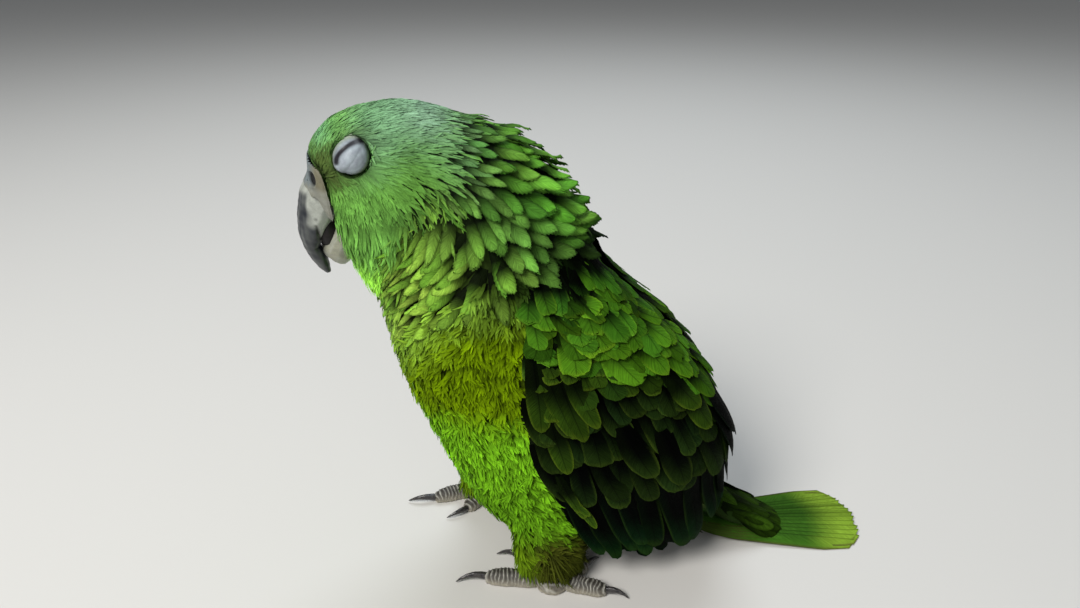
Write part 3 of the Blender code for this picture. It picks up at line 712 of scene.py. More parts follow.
def spaced(found, gaps, stretch=1.0):
    # gaps in mm, longer along the lie by the stretch
    spots, bird, place, _ = found
    gaps = (np.broadcast_to(gaps, len(spots)) * 0.001).tolist()
    tree = KDTree(len(spots))
    for i, p in enumerate(spots.tolist()):
        tree.insert(p, i)
    tree.balance()
    taken = bytearray(len(spots))
    kept = []
    longer = np.broadcast_to(stretch, len(spots))
    ways = lieAt(bird, place) if longer.max(initial=1) > 1 else None
    for i, (p, gap) in enumerate(zip(spots.tolist(), gaps)):
        if taken[i]:
            continue
        kept.append(i)
        close = [hit[1] for hit in tree.find_range(p, gap * longer[i])]
        if ways is not None:
            near = np.array(close)
            offset = spots[near] - spots[i]
            along = offset @ ways[i]
            aside = (offset ** 2).sum(1) - along ** 2
            close = near[(along / longer[i]) ** 2 + aside < gap ** 2].tolist()
        for j in close:
            taken[j] = 1
    return only(found, np.array(kept))


overFloor = {"roots": 0.0006, "vanes": 0.0003, "soft": 0.04, "reach": 0.004}      # metres
# what a coat's own dictionary leaves out
plainShape = {"along": 4, "across": 1, "full": 0.5, "tip": 1.6, "root": 0.5, "rise": 0.9, "camber": 0.0,
              "ragged": 0.0, "fray": 0.0, "fringe": 0, "fringeFrom": 3, "free": 0, "straight": False}
hanging = {"lie": 0.5, "down": (0, -0.12, -0.8), "stray": 0.07}     # how the free strands point


def tipColours(f, s, j, dark, start, full, edge):
    # feathers are darker at the root and along hidden edges, painted shade where they overlap and in the
    # gaps between them, and full coloured at the tip
    share = np.clip((s - start) / (full - start), 0, 1)
    shade = (dark + (1 - dark) * share) * (1 - edge * np.abs(j) ** 4) * (1 + f["tone"][:, None, None])
    return f["colour"][:, None, None] * shade[..., None]


def growFeathers(name, base, normals, headings, f, shape, paint, dice):
    count, steps, across = base.shape[0], base.shape[1] - 1, shape["across"]
    s, j = stations(steps), np.linspace(-1, 1, across + 1)
    length, width, tone = (f[key][:, None, None] for key in ("length", "width", "tone"))
    lift = f["rootLift"][:, None] + (f["tipLift"] - f["rootLift"])[:, None] * s ** shape["rise"]
    sides = unit(np.cross(headings, normals))
    roll = f["roll"][:, None, None] * np.linspace(0.3, 1, steps + 1)[None, :, None]
    tilted = sides * np.cos(roll) + normals * np.sin(roll)
    full, tip = (np.broadcast_to(f.get(key, shape[key]), count)[:, None] for key in ("full", "tip"))
    half = (f["width"][:, None] * 0.5 * outline(s[None], shape, full, tip))[:, :, None]
    bend = f["bend"][:, None] * (s ** 2)[None] * f["length"][:, None]
    centre = base + sides * bend[..., None] + normals * lift[..., None]
    points = centre[:, :, None] + tilted[:, :, None] * (half * j)[..., None]
    points = points - normals[:, :, None] * (shape["camber"] * half * j ** 2)[..., None]
    size = (count, steps + 1, across + 1)
    torn = shape["ragged"] * width * np.abs(j) ** 3 * dice.uniform(-1, 1, size)
    torn = torn + shape["fray"] * length * s[:, None] ** 6 * dice.uniform(-1, 0.5, (count, 1, across + 1))
    points = points + headings[:, :, None] * torn[..., None]
    sAll, jAll = np.broadcast_to(s[:, None], size), np.broadcast_to(j, size)
    colours = tipColours(f, sAll, jAll, *paint)
    barb = np.stack([sAll * length * 1000, jAll * width * 500, np.broadcast_to(tone * 40, size)], -1)
    local = np.stack([sAll - 0.5, jAll * 0.5], -1)
    parts = [part.reshape(-1, part.shape[-1]) for part in (points, colours, barb, local)]
    points, colours, barb, local = parts
    low = overFloor["vanes"] + overFloor["soft"] * (points[:, 2] + overFloor["reach"])
    points[:, 2] = np.maximum(points[:, 2], low)

    grid, quads = vaneGrid(count, steps, across)
    owners = np.repeat(np.arange(count), grid.size)
    triangles = None
    if shape["fringe"]:     # loose barbs down both edges
        triangles, tips = [], [[part] for part in parts]
        for edge, sign in ((0, -1.0), (across, 1.0)):
            for k in range(shape["fringeFrom"], steps):
                a, b = (grid[row, edge] + np.arange(count) * grid.size for row in (k, k + 1))
                reach = shape["fringe"] * f["width"][:, None] * dice.uniform(0.4, 1.3, (count, 1))
                out = tilted[:, k] * sign + headings[:, k] * dice.uniform(0.7, 1.6, (count, 1))
                point = (points[a] + points[b]) / 2 + (out - normals[:, k] * 0.15) * reach
                index = len(points) + len(triangles) * count + np.arange(count)
                triangles.append(np.stack([b, a, index] if sign > 0 else [a, b, index], 1))
                for part, more in zip(tips, (point, colours[b], barb[b], local[b])):
                    part.append(more)
        points, colours, barb, local = (np.concatenate(part) for part in tips)
        owners = np.concatenate([owners] + [np.arange(count)] * len(triangles))
        triangles = np.concatenate(triangles)
    return featherMesh(name, points, quads, colours, barb, f["uv"][owners] + local * bakePatch, triangles)


def lay(surface, name, c, dice, found, colour=None, tone=0.0, curl=0.0, turn=None, **changes):
    # one coat piece: a feather at each root, with the sizes in its dictionary or the changed ones
    roots, bird, place, _ = found
    c = dict(c, **changes)
    shape = dict(plainShape, **c["shape"])
    count = len(roots)
    spread, roll, bend = c["spread"]
    f = {key: c[key] * 0.001 * dice.normal(1, spread, count).clip(0.6, 1.5) for key in ("length", "width")}
    f["rootLift"] = np.full(count, c["rootLift"] * 0.001)
    f["tipLift"] = c["tipLift"] * 0.001 * dice.uniform(0.6, 1.25, count)
    f["roll"] = dice.normal(0, roll, count)
    f["bend"] = dice.normal(0, bend, count) + curl
    f["colour"] = bodyColours(bird, place) if colour is None else colour
    f.update({key: c[key] for key in ("full", "tip") if key in c})
    if "hue" in c:
        f["colour"] = f["colour"] * (1 + dice.normal(0, 1, (count, 1)).clip(-1.4, 1.4) * np.array(c["hue"]))
    mean, vary, low, high = c["tone"]
    f["tone"] = dice.normal(mean, vary, count).clip(low, high) + tone
    f["uv"] = unwrapSpot(place)
    up = nearestOn(surface, roots)[1]
    ways = lieAt(toBird(roots), place)
    ways = unit(ways + np.cross(ways, up) * dice.normal(0, c["sway"], (count, 1)))
    if turn is not None:
        ways = unit(ways + np.cross(ways, up) * np.tan(turn)[:, None])
    if shape["free"]:
        ways = unit(hanging["lie"] * ways + np.array(hanging["down"])
                    + up * shape["free"] * np.array([1, 1, 0]) + dice.normal(0, hanging["stray"], up.shape))
    cling = not (shape["free"] or shape["straight"])
    base, normals, headings = walk(surface, roots, ways, f["length"], shape["along"], cling)
    base[..., 2] = np.maximum(base[..., 2], overFloor["roots"])
    mesh = growFeathers(name, base, normals, headings, f, shape, c["paint"], dice)
    addPiece(name, mesh, featherMaterial(name.replace("feathers", "plume"), c["look"]), c["slot"])
    report("%s: %d feathers, %d triangles" % (name, count, sum(len(p.vertices) - 2 for p in mesh.polygons)))


# where feathers may grow
growLimits = {"lid": 0.93, "bill": 1.5, "bareSkin": 0.5, "cover": 0.018, "ahead": (0, -6.0, 0)}


def clear(bird, p):
    return ((aroundEye(bird)[0] > growLimits["lid"]) & (beakGap(bird) > growLimits["bill"])
            & (bareShare(p) < growLimits["bareSkin"]))


def meetsWing(surface, spots, ways, reach):
    return np.array([any(tree.ray_cast(q, r, reach)[0] is not None for tree in surface["wings"])
                     for q, r in zip(spots.tolist(), ways.tolist())])


def hidden(surface, found):
    # under a wing, both here and a little further ahead
    roots, bird, _, _ = found
    up = nearestOn(surface, roots)[1]
    ahead = toMetres(bird + np.array(growLimits["ahead"]))
    return (meetsWing(surface, toMetres(bird), up, growLimits["cover"])
            & meetsWing(surface, ahead, up, growLimits["cover"]))


def backZone(p, t, up):
    return ((t > 5.9) & (up > 0.70) & (p[:, 1] > 30)) | ((p[:, 1] > 92) & (up > 0.4))


faceCoat = {
    "look": "face", "slot": "head_plumage", "seed": 11, "perMm": 8.0, "gap": (0.52, 0.5),
    "length": 5.0, "width": 0.66, "rootLift": 0.1, "tipLift": 0.7,
    "spread": (0.2, 0.35, 0.1), "tone": (0, 0.07, -9, 9), "sway": 0.16,
    "end": (4.15, 0.22),        # how far along the head it reaches, and its unevenness
    "grow": 0.9,                # the rearmost are longer and wider by this share
    "paint": (0.66, 0.0, 0.7, 0.0),     # painted shade at the root, where it starts and ends to lighten, painted shade at the edges
    "shape": {"across": 2, "full": 0.45, "root": 0.6, "rise": 0.8, "camber": 0.3},
}


def coatFace(surface):
    dice, found = darts(surface, faceCoat)
    p, t, _, _ = found[2]
    end, uneven = faceCoat["end"]
    found = only(found, (t + uneven * mottle(p, 5.0, 8) < end) & clear(found[1], p))
    gap, wider = faceCoat["gap"]
    found = spaced(found, gap + wider * fade(2.6, 4.0, found[2][1]))
    grow = 1 + faceCoat["grow"] * fade(2.0, 4.3, found[2][1])
    lay(surface, "face_feathers", faceCoat, dice, found, length=faceCoat["length"] * grow,
        width=faceCoat["width"] * grow, tipLift=faceCoat["tipLift"] * (1 + 0.3 * grow) / 1.3)


# a beard of long narrow strands hanging past the lower bill
throatCoat = {
    "look": "face", "slot": "head_plumage", "seed": 17, "perMm": 3.0, "gap": 0.95,
    "length": 11.0, "width": 1.3, "rootLift": 0.3, "tipLift": 2.4,
    "spread": (0.22, 0.3, 0.08), "tone": (0.06, 0.16, -0.5, 0.5), "sway": 0.12,
    "paint": (0.35, 0.1, 0.7, 0.0),
    "shape": {"along": 6, "across": 2, "full": 0.45, "tip": 1.3, "rise": 1.2, "camber": 0.3},
}


def coatThroat(surface):
    dice, found = darts(surface, throatCoat)
    p, t, _, _ = found[2]
    front = (p[:, 1] < -16) & (p[:, 2] > 143) & (p[:, 2] < 166) & (t < 3.7)
    found = spaced(only(found, front & clear(found[1], p)), throatCoat["gap"])
    lay(surface, "throat_feathers", throatCoat, dice, found)


# raised feathers in rows, pointed down the front and up the nape
neckCoat = {
    "look": "neck", "slot": "neck_plumage", "seed": 12, "perMm": 2.5,
    "gap": (1.4, 2.5), "length": (10.0, 18.0), "width": (2.0, 5.2), "rootLift": 0.3, "tipLift": (1.2, 3.0),
    "stretch": 2.5,             # how much further apart the narrow ones stand along the lie than across it
    "wide": {"gap": 2.7, "stretch": 1.9, "length": 17.0, "width": 6.0},    # side and nape
    # the ridge tone is painted light, brightest along the crest of each row
    "ridge": {"apart": 8.5, "tone": 0.17, "lift": 0.6, "thin": -0.1},     # ruffled rows round the neck, mm
    "napeLift": 2.6,            # extra lift of the tips up the back of the neck
    # the hanging feathers down the front are narrower, closer together and longer by these shares, and
    # lie lower by these mm
    "front": {"thin": 0.62, "dense": 0.35, "long": 0.25, "low": 0.8},
    "endY": (-30, -14, -4, 11, 26, 38, 46),     # where the tips of the raised feathers end, y and z
    "endZ": (104, 108, 122, 130, 137, 145, 151),
    "spread": (0.12, 0.15, 0.05), "tone": (-0.02, 0.20, -0.5, 0.4), "hue": (0.16, 0.04, 0.16), "sway": 0.16,
    "paint": (0.02, 0.38, 0.8, 0.6),
    "shape": {"along": 10, "across": 8, "root": 0.6, "rise": 1.3, "camber": 0.22, "fray": 0.08,
              "fringe": 0.06},
}


def aboveEnds(p):
    return p[:, 2] - np.interp(p[:, 1], neckCoat["endY"], neckCoat["endZ"])


def neckShares(place):
    # how far grown, how far to the front, how far to the side and nape, and the ruffled rows
    p, t, up, _ = place
    grown = fade(3.5, 4.7, t + 0.65 * fade(0.78, 0.5, up))
    wide = fade(8, 17, p[:, 1]) * fade(0.25, 0.8, grown)
    rows = np.cos(2 * np.pi * aboveEnds(p) / neckCoat["ridge"]["apart"] + 1.3 * mottle(p, 14.0, 31))
    return grown, fade(6, -12, p[:, 1]), wide, rows


def coatNeck(surface):
    dice, found = darts(surface, neckCoat)
    p, t, up, _ = found[2]
    _, _, wide, rows = neckShares(found[2])
    inRow = (rows > neckCoat["ridge"]["thin"]) | (wide < 0.6)
    wanted = (t + 0.65 * fade(0.78, 0.5, up) > 3.6) & (t < 8) & (aboveEnds(p) > 10) & inRow
    found = only(found, wanted)
    atFront, atSide, ridge = neckCoat["front"], neckCoat["wide"], neckCoat["ridge"]

    def grade(key, change):
        # a size from the ungrown to the grown feathers, changed at the front, and other at the side
        grown, front, wide, _ = neckShares(found[2])
        low, high = neckCoat[key]
        size = (low + (high - low) * grown) * (1 + change * front)
        return size + (atSide[key] - size) * wide

    stretch = neckCoat["stretch"] + (atSide["stretch"] - neckCoat["stretch"]) * neckShares(found[2])[2]
    found = spaced(found, grade("gap", -atFront["dense"]), stretch)
    grown, front, wide, rows = neckShares(found[2])
    low, high = neckCoat["tipLift"]
    nape = fade(0.62, 0.9, found[2][2]) * grown
    tipLift = low + (high - low) * grown + neckCoat["napeLift"] * nape - atFront["low"] * front
    # the tone paints light along the crests of the ruffled rows
    lay(surface, "neck_feathers", neckCoat, dice, found, bodyColours(found[1], found[2], False),
        ridge["tone"] * rows * wide, length=grade("length", atFront["long"]),
        width=grade("width", -atFront["thin"]), tipLift=tipLift * (1 + ridge["lift"] * rows * wide),
        full=0.60 - 0.12 * front, tip=2.1 - 0.6 * front - 0.2 * wide)


# breast, belly and thighs: small soft curling feathers, each a tuft of a few strands
softCoat = {
    "look": "soft", "slot": "belly_plumage", "perMm": 1.6, "gap": (1.7, 0.25), "strands": 8,
    "length": 7.0, "width": 1.15, "rootLift": 0.2, "tipLift": 1.7,
    "split": 78,                # height where the breast piece ends and the belly piece starts
    "spread": (0.18, 0.4, 0.06), "tone": (0, 0.08, -9, 9), "sway": 0.0,
    "tuft": {"tone": 0.15, "patch": 0.16, "turn": (0.34, 0.16), "curl": 0.22, "lift": (0.6, 1.7),
             "apart": 0.00035},
    "paint": (0.12, 0.05, 0.8, 0.0),
    "shape": {},
}


def coatSoft(surface, name, upper, seed):
    dice, found = darts(surface, dict(softCoat, seed=seed))
    p, t, up, _ = found[2]
    half = (p[:, 2] > softCoat["split"]) == upper
    found = only(found, (t > 4.2) & (aboveEnds(p) < 12) & ~backZone(p, t, up) & half)
    gap, uneven = softCoat["gap"]
    found = spaced(found, gap + uneven * mottle(found[2][0], 9.0, 31))
    found = only(found, ~hidden(surface, found))
    roots, bird, place, _ = found
    look, many = softCoat["tuft"], len(roots)
    tuft = np.repeat(np.arange(many), softCoat["strands"])
    tone = (dice.normal(0, look["tone"], many) + look["patch"] * mottle(place[0], 5.0, 33))[tuft]
    turn = dice.normal(0, look["turn"][0], many)[tuft] + dice.normal(0, look["turn"][1], len(tuft))
    curl = dice.normal(0, look["curl"], many)[tuft]
    lift = dice.uniform(*look["lift"], many)[tuft]
    roots, bird, place, up = only(found, tuft)
    roots = roots + dice.normal(0, look["apart"], roots.shape)
    lay(surface, name, softCoat, dice, (roots, bird, place, up), None, tone, curl, turn,
        tipLift=softCoat["tipLift"] * lift)


def coatBreast(surface):
    coatSoft(surface, "breast_feathers", True, 13)


def coatBelly(surface):
    coatSoft(surface, "belly_feathers", False, 16)


# strands hanging free over the feet
ankleCoat = {
    "look": "soft", "slot": "thigh_plumage", "seed": 15, "perMm": 5.0, "gap": 0.55,
    "length": (4.0, 11.0), "width": 0.7, "rootLift": 0.0, "tipLift": 0.4,
    "spread": (0.15, 0.4, 0.08), "tone": (0, 0.18, -9, 9), "sway": 0.2,
    "paint": (0.3, 0.0, 0.7, 0.0),
    "shape": {"full": 0.4, "tip": 1.4, "free": 0.08},
}


def coatAnkles(surface):
    dice, found = darts(surface, ankleCoat)
    z = found[1][:, 2]
    found = spaced(only(found, (z < 30) & (z > 7) & (found[2][0][:, 1] < 58)), ankleCoat["gap"])
    lay(surface, "ankle_feathers", ankleCoat, dice, found,
        length=np.clip(found[1][:, 2] - 2.0, *ankleCoat["length"]))


# mantle and back: broad soft vanes
backCoat = {
    "look": "neck", "slot": "scapular_plumage", "seed": 14, "perMm": 0.3, "gap": 4.0,
    "length": 15.0, "width": 9.0, "rootLift": 0.4, "tipLift": 2.6,
    "spread": (0.15, 0.15, 0.06), "tone": (0, 0.14, -9, 9), "sway": 0.1,
    "paint": (0.15, 0.2, 0.75, 0.2),
    "shape": {"along": 8, "across": 6, "full": 0.55, "tip": 2.0, "root": 0.35, "rise": 1.0, "camber": 0.3,
              "ragged": 0.03, "fray": 0.10, "fringe": 0.08},
}


def coatBack(surface):
    dice, found = darts(surface, backCoat)
    p, t, up, _ = found[2]
    narrow = np.abs(p[:, 0]) < 24 - 0.3 * (p[:, 1] - 50)
    found = spaced(only(found, backZone(p, t, up) & (p[:, 1] < 96) & narrow), backCoat["gap"])
    found = only(found, ~hidden(surface, found))
    lay(surface, "back_feathers", backCoat, dice, found,
        tipLift=backCoat["tipLift"] * (1 - 0.8 * fade(80, 96, found[2][0][:, 1])))


# tail coverts: long vanes running straight out over the base of the tail
rumpCoat = {
    "look": "wing", "slot": "scapular_plumage", "seed": 18, "perMm": 0.6, "gap": 2.4,
    "stretch": 1.6, "length": 19.0, "width": 8.5, "rootLift": 0.5, "tipLift": 1.2,
    "tint": (1.3, 1.15, 1.0),
    "spread": (0.12, 0.12, 0.04), "tone": (0, 0.2, -9, 9), "sway": 0.05,
    "paint": (0.2, 0.2, 0.75, 0.5),
    "shape": {"along": 10, "across": 6, "full": 0.6, "tip": 2.2, "rise": 1.0, "camber": 0.25,
              "ragged": 0.02, "fray": 0.03, "straight": True},
}


def coatRump(surface):
    dice, found = darts(surface, rumpCoat)
    p, t, up, _ = found[2]
    narrow = np.abs(p[:, 0]) < 11 + 0.5 * (p[:, 1] - 92)
    wanted = backZone(p, t, up) & (p[:, 1] > 92) & (p[:, 2] < 60) & narrow & (found[3][:, 2] > 0.4)
    found = spaced(only(found, wanted), rumpCoat["gap"], rumpCoat["stretch"])
    roots, bird, place, _ = found
    pierces = meetsWing(surface, roots, lieAt(bird, place), (rumpCoat["length"] + 4) / 1000)
    found = only(found, ~hidden(surface, found) & ~pierces)
    lay(surface, "rump_feathers", rumpCoat, dice, found,
        bodyColours(found[1], found[2]) * np.array(rumpCoat["tint"]))


# wings, on a sheet read from the solids by height and angle round an upright axis
wingAxis = {"top": (36.0, 152.0), "foot": (78.0, 0.0)}     # (y, z)
sheetStep = 3.0             # mm up the wing and degrees round it
sheetFar = 0.12             # metres from the axis, outside every wing
sheetHeights = np.arange(0.0, 156.0, sheetStep)
sheetAngles = np.radians(np.arange(0.0, 151.0, sheetStep))
wingLooks = {
    "flight": {"colours": ("flight", "flightGreen", "flightEdge"), "tip": 0.66, "outer": 0.12,
               "root": 0.3, "shadow": 0.25, "rim": (0.1, 0.8)},
    "primary": {"colours": ("flight", "flight", "flightGreen"), "tip": 0.95, "outer": 0.1,
                "root": 0.6, "shadow": 0.1, "rim": (0.1, 0.5)},
    "lowCovert": {"colours": ("lowCovertDark", "lowCovert", "lowCovertEdge"), "tip": 0.55, "outer": 0.3,
                  "root": 0.15, "shadow": 0.3, "rim": (0.0, 0.9)},
    "covert": {"colours": ("covertDark", "covert", "covertEdge"), "tip": 0.45, "outer": 0.6,
               "root": 0.12, "shadow": 0.4, "rim": (0.0, 0.7), "ragged": 0.06},
    "scapular": {"colours": ("scapularDark", "scapular", "scapularEdge"), "tip": 0.35, "outer": 0.7,
                 "root": 0.05, "shadow": 0.46, "rim": (0.0, 0.5), "frontDark": 0.45, "ragged": 0.12,
                 "spread": 0.36},
    "mantle": {"colours": ("scapularDark", "mantle", "scapularEdge"), "tip": 0.4, "outer": 0.6,
               "root": 0.05, "shadow": 0.45, "rim": (0.0, 0.4), "frontDark": 0.1, "ragged": 0.12,
               "spread": 0.40},
}
wingShape = {"along": 12, "across": 8, "full": 0.74, "tip": 3.0, "root": 0.5, "rise": 0.8, "camber": 0.10,
             "ragged": 0.035, "shingle": 0.35, "quill": 0.25}
singleShape = dict(wingShape, along=14, full=0.55, tip=2.2, camber=0.12, ragged=0.04, shingle=0.3)
# how far the feathers of an untidiness of 1 stray
wingStray = {"z": 1.5, "angle": 1.4, "size": 0.10, "tip": 0.45, "slant": 0.09, "curve": 0.10}
wingRows = (
    # name, look, root height at the rear, middle and front, angles from rear to front (degrees),
    # feathers, length, width, root and tip lift, slant (degrees), untidiness
    ("primary", "primary", (66, 64, 66), (60, 129), 11, 46, 11, (-5.0, -4.0), 6, 0.25),
    ("tertial", "primary", (104, 100, 96), (4, 30), 5, 60, 12, (-4.0, -1.6), 3, 0.5),
    ("secondary", "flight", (82, 80, 74), (13, 125), 13, 58, 11.5, (-4.4, -2.4), 6, 0.45),
    ("greater", "lowCovert", (91, 88, 80), (16, 124), 15, 34, 11, (-3.6, -1.4), 8, 0.8),
    ("median", "lowCovert", (100, 99, 92), (18, 124), 16, 25, 10, (-3.2, -0.8), 9, 1.0),
    ("lesserLow", "lowCovert", (109, 108, 101), (20, 123), 18, 20, 9, (-2.8, -0.3), 10, 1.0),
    ("lesserMid", "covert", (116, 116, 109), (22, 122), 19, 16, 8.5, (-2.6, 0.1), 12, 1.0),
    ("lesserHigh", "covert", (124, 122, 116), (26, 118), 19, 13, 7.5, (-2.4, 0.4), 14, 1.0),
    ("lesserTop", "covert", (131, 129, 121), (30, 112), 17, 12, 7, (-2.4, 0.5), 16, 1.0),
    ("scapular1", "scapular", (100, 130, 135), (10, 108), 19, 21, 8.5, (-1.6, 1.3), 14, 1.5),
    ("scapular2", "scapular", (108, 135, 137), (9, 112), 22, 18, 7.5, (-1.6, 1.6), 15, 1.6),
    ("scapular3", "scapular", (116, 139, 138), (8, 115), 24, 17, 7, (-1.6, 1.8), 15, 1.6),
    ("scapular4", "scapular", (124, 140, 138), (9, 117), 24, 16, 7, (-1.6, 1.9), 15, 1.6),
    ("scapular5", "mantle", (131, 145, 141), (14, 112), 24, 15, 7, (-1.8, 1.5), 15, 1.6),
    ("scapular6", "mantle", (137, 149, 144), (20, 96), 18, 14, 7, (-2.4, 0.8), 15, 1.6),
)
# single feathers that break the rows: look, root height and angle, length, width, root and tip lift,
# slant (degrees), tone
wingSingles = (
    ("covert", 122, 107, 17, 8, 0.2, 1.6, 62, 0.35), ("covert", 119, 114, 32, 7.5, -0.6, 0.2, 2, -0.1),
    ("covert", 118, 109, 34, 8, -0.5, 0.5, 4, 0.1), ("covert", 116, 104, 33, 8, -0.4, 0.7, 6, -0.15),
    ("covert", 117, 99, 29, 7.5, -0.4, 0.9, 8, 0.15), ("covert", 96, 112, 28, 8, -0.8, 0.0, 3, 0.2),
    ("primary", 113, 20, 52, 9, -1.0, 1.6, 2, 0.2), ("primary", 118, 25, 50, 9, -1.0, 1.4, 3, -0.2),
    ("primary", 108, 14, 56, 9, -1.5, 1.2, 1, 0.0), ("primary", 104, 28, 50, 9, -1.2, 0.6, 4, 0.3),
    ("scapular", 122, 44, 22, 10, 0.2, 2.6, 18, 0.2),
    ("scapular", 126, 55, 20, 10, 0.2, 2.6, 12, 0.4), ("scapular", 112, 36, 24, 10, 0.0, 2.4, 14, -0.2),
    ("covert", 108, 48, 20, 11, 0.4, 1.8, 14, 0.4), ("covert", 100, 42, 21, 11, 0.2, 1.6, 12, 0.25),
    ("lowCovert", 88, 78, 24, 12, -0.4, 0.9, 8, 0.3), ("lowCovert", 84, 60, 26, 12, -0.4, 0.9, 9, 0.1),
    ("covert", 62, 118, 20, 5, -1.6, 0.2, 20, 0.8), ("covert", 57, 120, 16, 4, -1.6, 0.6, 34, 0.9),
    ("covert", 66, 116, 20, 5, -1.4, 0.3, 10, 0.5), ("covert", 54, 116, 18, 4.5, -1.8, 0.2, 26, 0.8),
)
# outline of the dark under-plate, near black as painted shade in the gaps between the wing feathers:
# height, rear angle, front angle (degrees)
shadePlate = ((29, 62, 123), (40, 40, 126), (55, 28, 128), (70, 22, 129), (84, 18, 129.5), (94, 15, 127.5),
              (101, 13, 124), (107, 12, 117), (113, 11, 109), (122, 10, 104), (132, 12, 98), (137, 16, 92))
shadePlateLook = {"lift": -5.4, "thick": 1.2, "colour": (0.006, 0.010, 0.004), "step": 2.2, "across": 36}


def axisY(z):
    (topY, topZ), (footY, footZ) = wingAxis["top"], wingAxis["foot"]
    return footY + (topY - footY) * (np.asarray(z) - footZ) / (topZ - footZ)


def wingNodes(name):
    return ["wing_%s_%s" % (name, layer) for layer in ("primaries", "secondaries", "coverts", "scapulars")]


def readSheet(side, name):
    tree = treeOf(*wingNodes(name))
    reach = np.full((len(sheetHeights), len(sheetAngles)), np.nan)
    for i, z in enumerate(sheetHeights):
        for k, a in enumerate(sheetAngles):
            way = Vector((side * math.sin(a), math.cos(a), 0))
            centre = Vector(toMetres((0.0, float(axisY(z)), z)))
            hit = tree.ray_cast(centre + way * sheetFar, -way, sheetFar)[0]
            if hit is not None:
                reach[i, k] = (hit - centre).length * 1000
    # gaps are filled along the rows, then along the columns
    for grid, fewest in ((reach, 2), (reach.T, 2), (reach.T, 1)):
        for row in grid:
            good = ~np.isnan(row)
            if good.sum() >= fewest:
                row[:] = np.interp(np.arange(len(row)), np.flatnonzero(good), row[good])
    for _ in range(5):
        padded = np.pad(reach, 1, mode="edge")
        reach = (padded[:-2, 1:-1] + padded[2:, 1:-1] + padded[1:-1, :-2] + padded[1:-1, 2:]
                 + 2 * padded[1:-1, 1:-1]) / 6
    return {"tree": tree, "reach": reach, "side": side}


def sheetReach(sheet, z, angle):
    grid = sheet["reach"]
    i = np.clip(z / sheetStep, 0, len(sheetHeights) - 1.001)
    k = np.clip(angle / math.radians(sheetStep), 0, len(sheetAngles) - 1.001)
    i0, k0 = i.astype(int), k.astype(int)
    fi, fk0 = i - i0, k - k0
    return ((grid[i0, k0] * (1 - fi) + grid[i0 + 1, k0] * fi) * (1 - fk0)
            + (grid[i0, k0 + 1] * (1 - fi) + grid[i0 + 1, k0 + 1] * fi) * fk0)


def sheetPoint(sheet, z, angle, lift):
    reach = sheetReach(sheet, z, np.abs(angle)) + lift
    x = sheet["side"] * np.sin(angle) * reach
    return toMetres(np.stack([x, axisY(z) + np.cos(angle) * reach, z], -1))


def wingSpot(z, angle):
    return np.stack([0.03 + 0.94 * angle / math.radians(150), 0.03 + 0.94 * z / 156], -1)


def wingColours(f, s, j, look):
    base, green, edge = (np.array(palette[name]) for name in look["colours"])
    outer = fade(0.0, 0.55, -j)
    colour = mix(base, green, np.clip(outer * look["outer"] + fade(look["tip"], 1.0, s), 0, 1))
    rim = fade(0.8, 1.0, np.abs(j)) * fade(0.4, 0.8, s) + fade(0.9, 1.0, s) * 0.8
    colour = mix(colour, edge, np.clip(rim, 0, 1) * f["rim"])
    shaded = look["root"] + (1 - look["root"]) * fade(look["shadow"], look["shadow"] + 0.35, s)
    cool = f["cool"][..., None] * np.array([-0.5, -0.1, 0.9])
    return colour * (shaded * (1 + f["tone"]))[..., None] * (1 + cool)


def wingVanes(name, sheet, f, shape, look, dice):
    f = {key: np.asarray(value, dtype=float)[:, None, None] for key, value in f.items()}
    steps, across, many = shape["along"], shape["across"], len(f["z"])
    s, j = np.broadcast_arrays(stations(steps)[:, None], np.linspace(-1, 1, across + 1))
    half = f["width"] / 2 * outline(s, shape)
    side = half * j
    torn = shape["ragged"] * dice.uniform(-1, 1, (many, *s.shape)) * f["width"] * np.abs(j) ** 3
    along = f["length"] * s + torn
    lean = f["slant"] + f["curve"] * s
    z = f["z"] - along * np.cos(lean) + side * np.sin(lean)
    reach = sheetReach(sheet, f["z"], f["angle"])
    angle = f["angle"] - (along * np.sin(lean) + side * np.cos(lean)) / reach
    lift = f["rootLift"] + (f["tipLift"] - f["rootLift"]) * s ** shape["rise"]
    lift = lift - shape["shingle"] * (side / 5.0) - shape["camber"] * half * j ** 2
    lift = lift + shape["quill"] * bell(j * 4) * (1 - s)
    barb = np.stack(np.broadcast_arrays(s * f["length"], j * f["width"] / 2, f["tone"] * 40), -1)
    spots = wingSpot(f["z"], f["angle"]) + np.stack([s - 0.5, j * 0.5], -1) * bakePatch
    points, colours = sheetPoint(sheet, z, angle, lift), wingColours(f, s, j, look)
    quads = vaneGrid(many, steps, across)[1][:, ::sheet["side"]]       # the right wing is a mirror image
    return featherMesh(name, points, quads, colours, barb, spots)


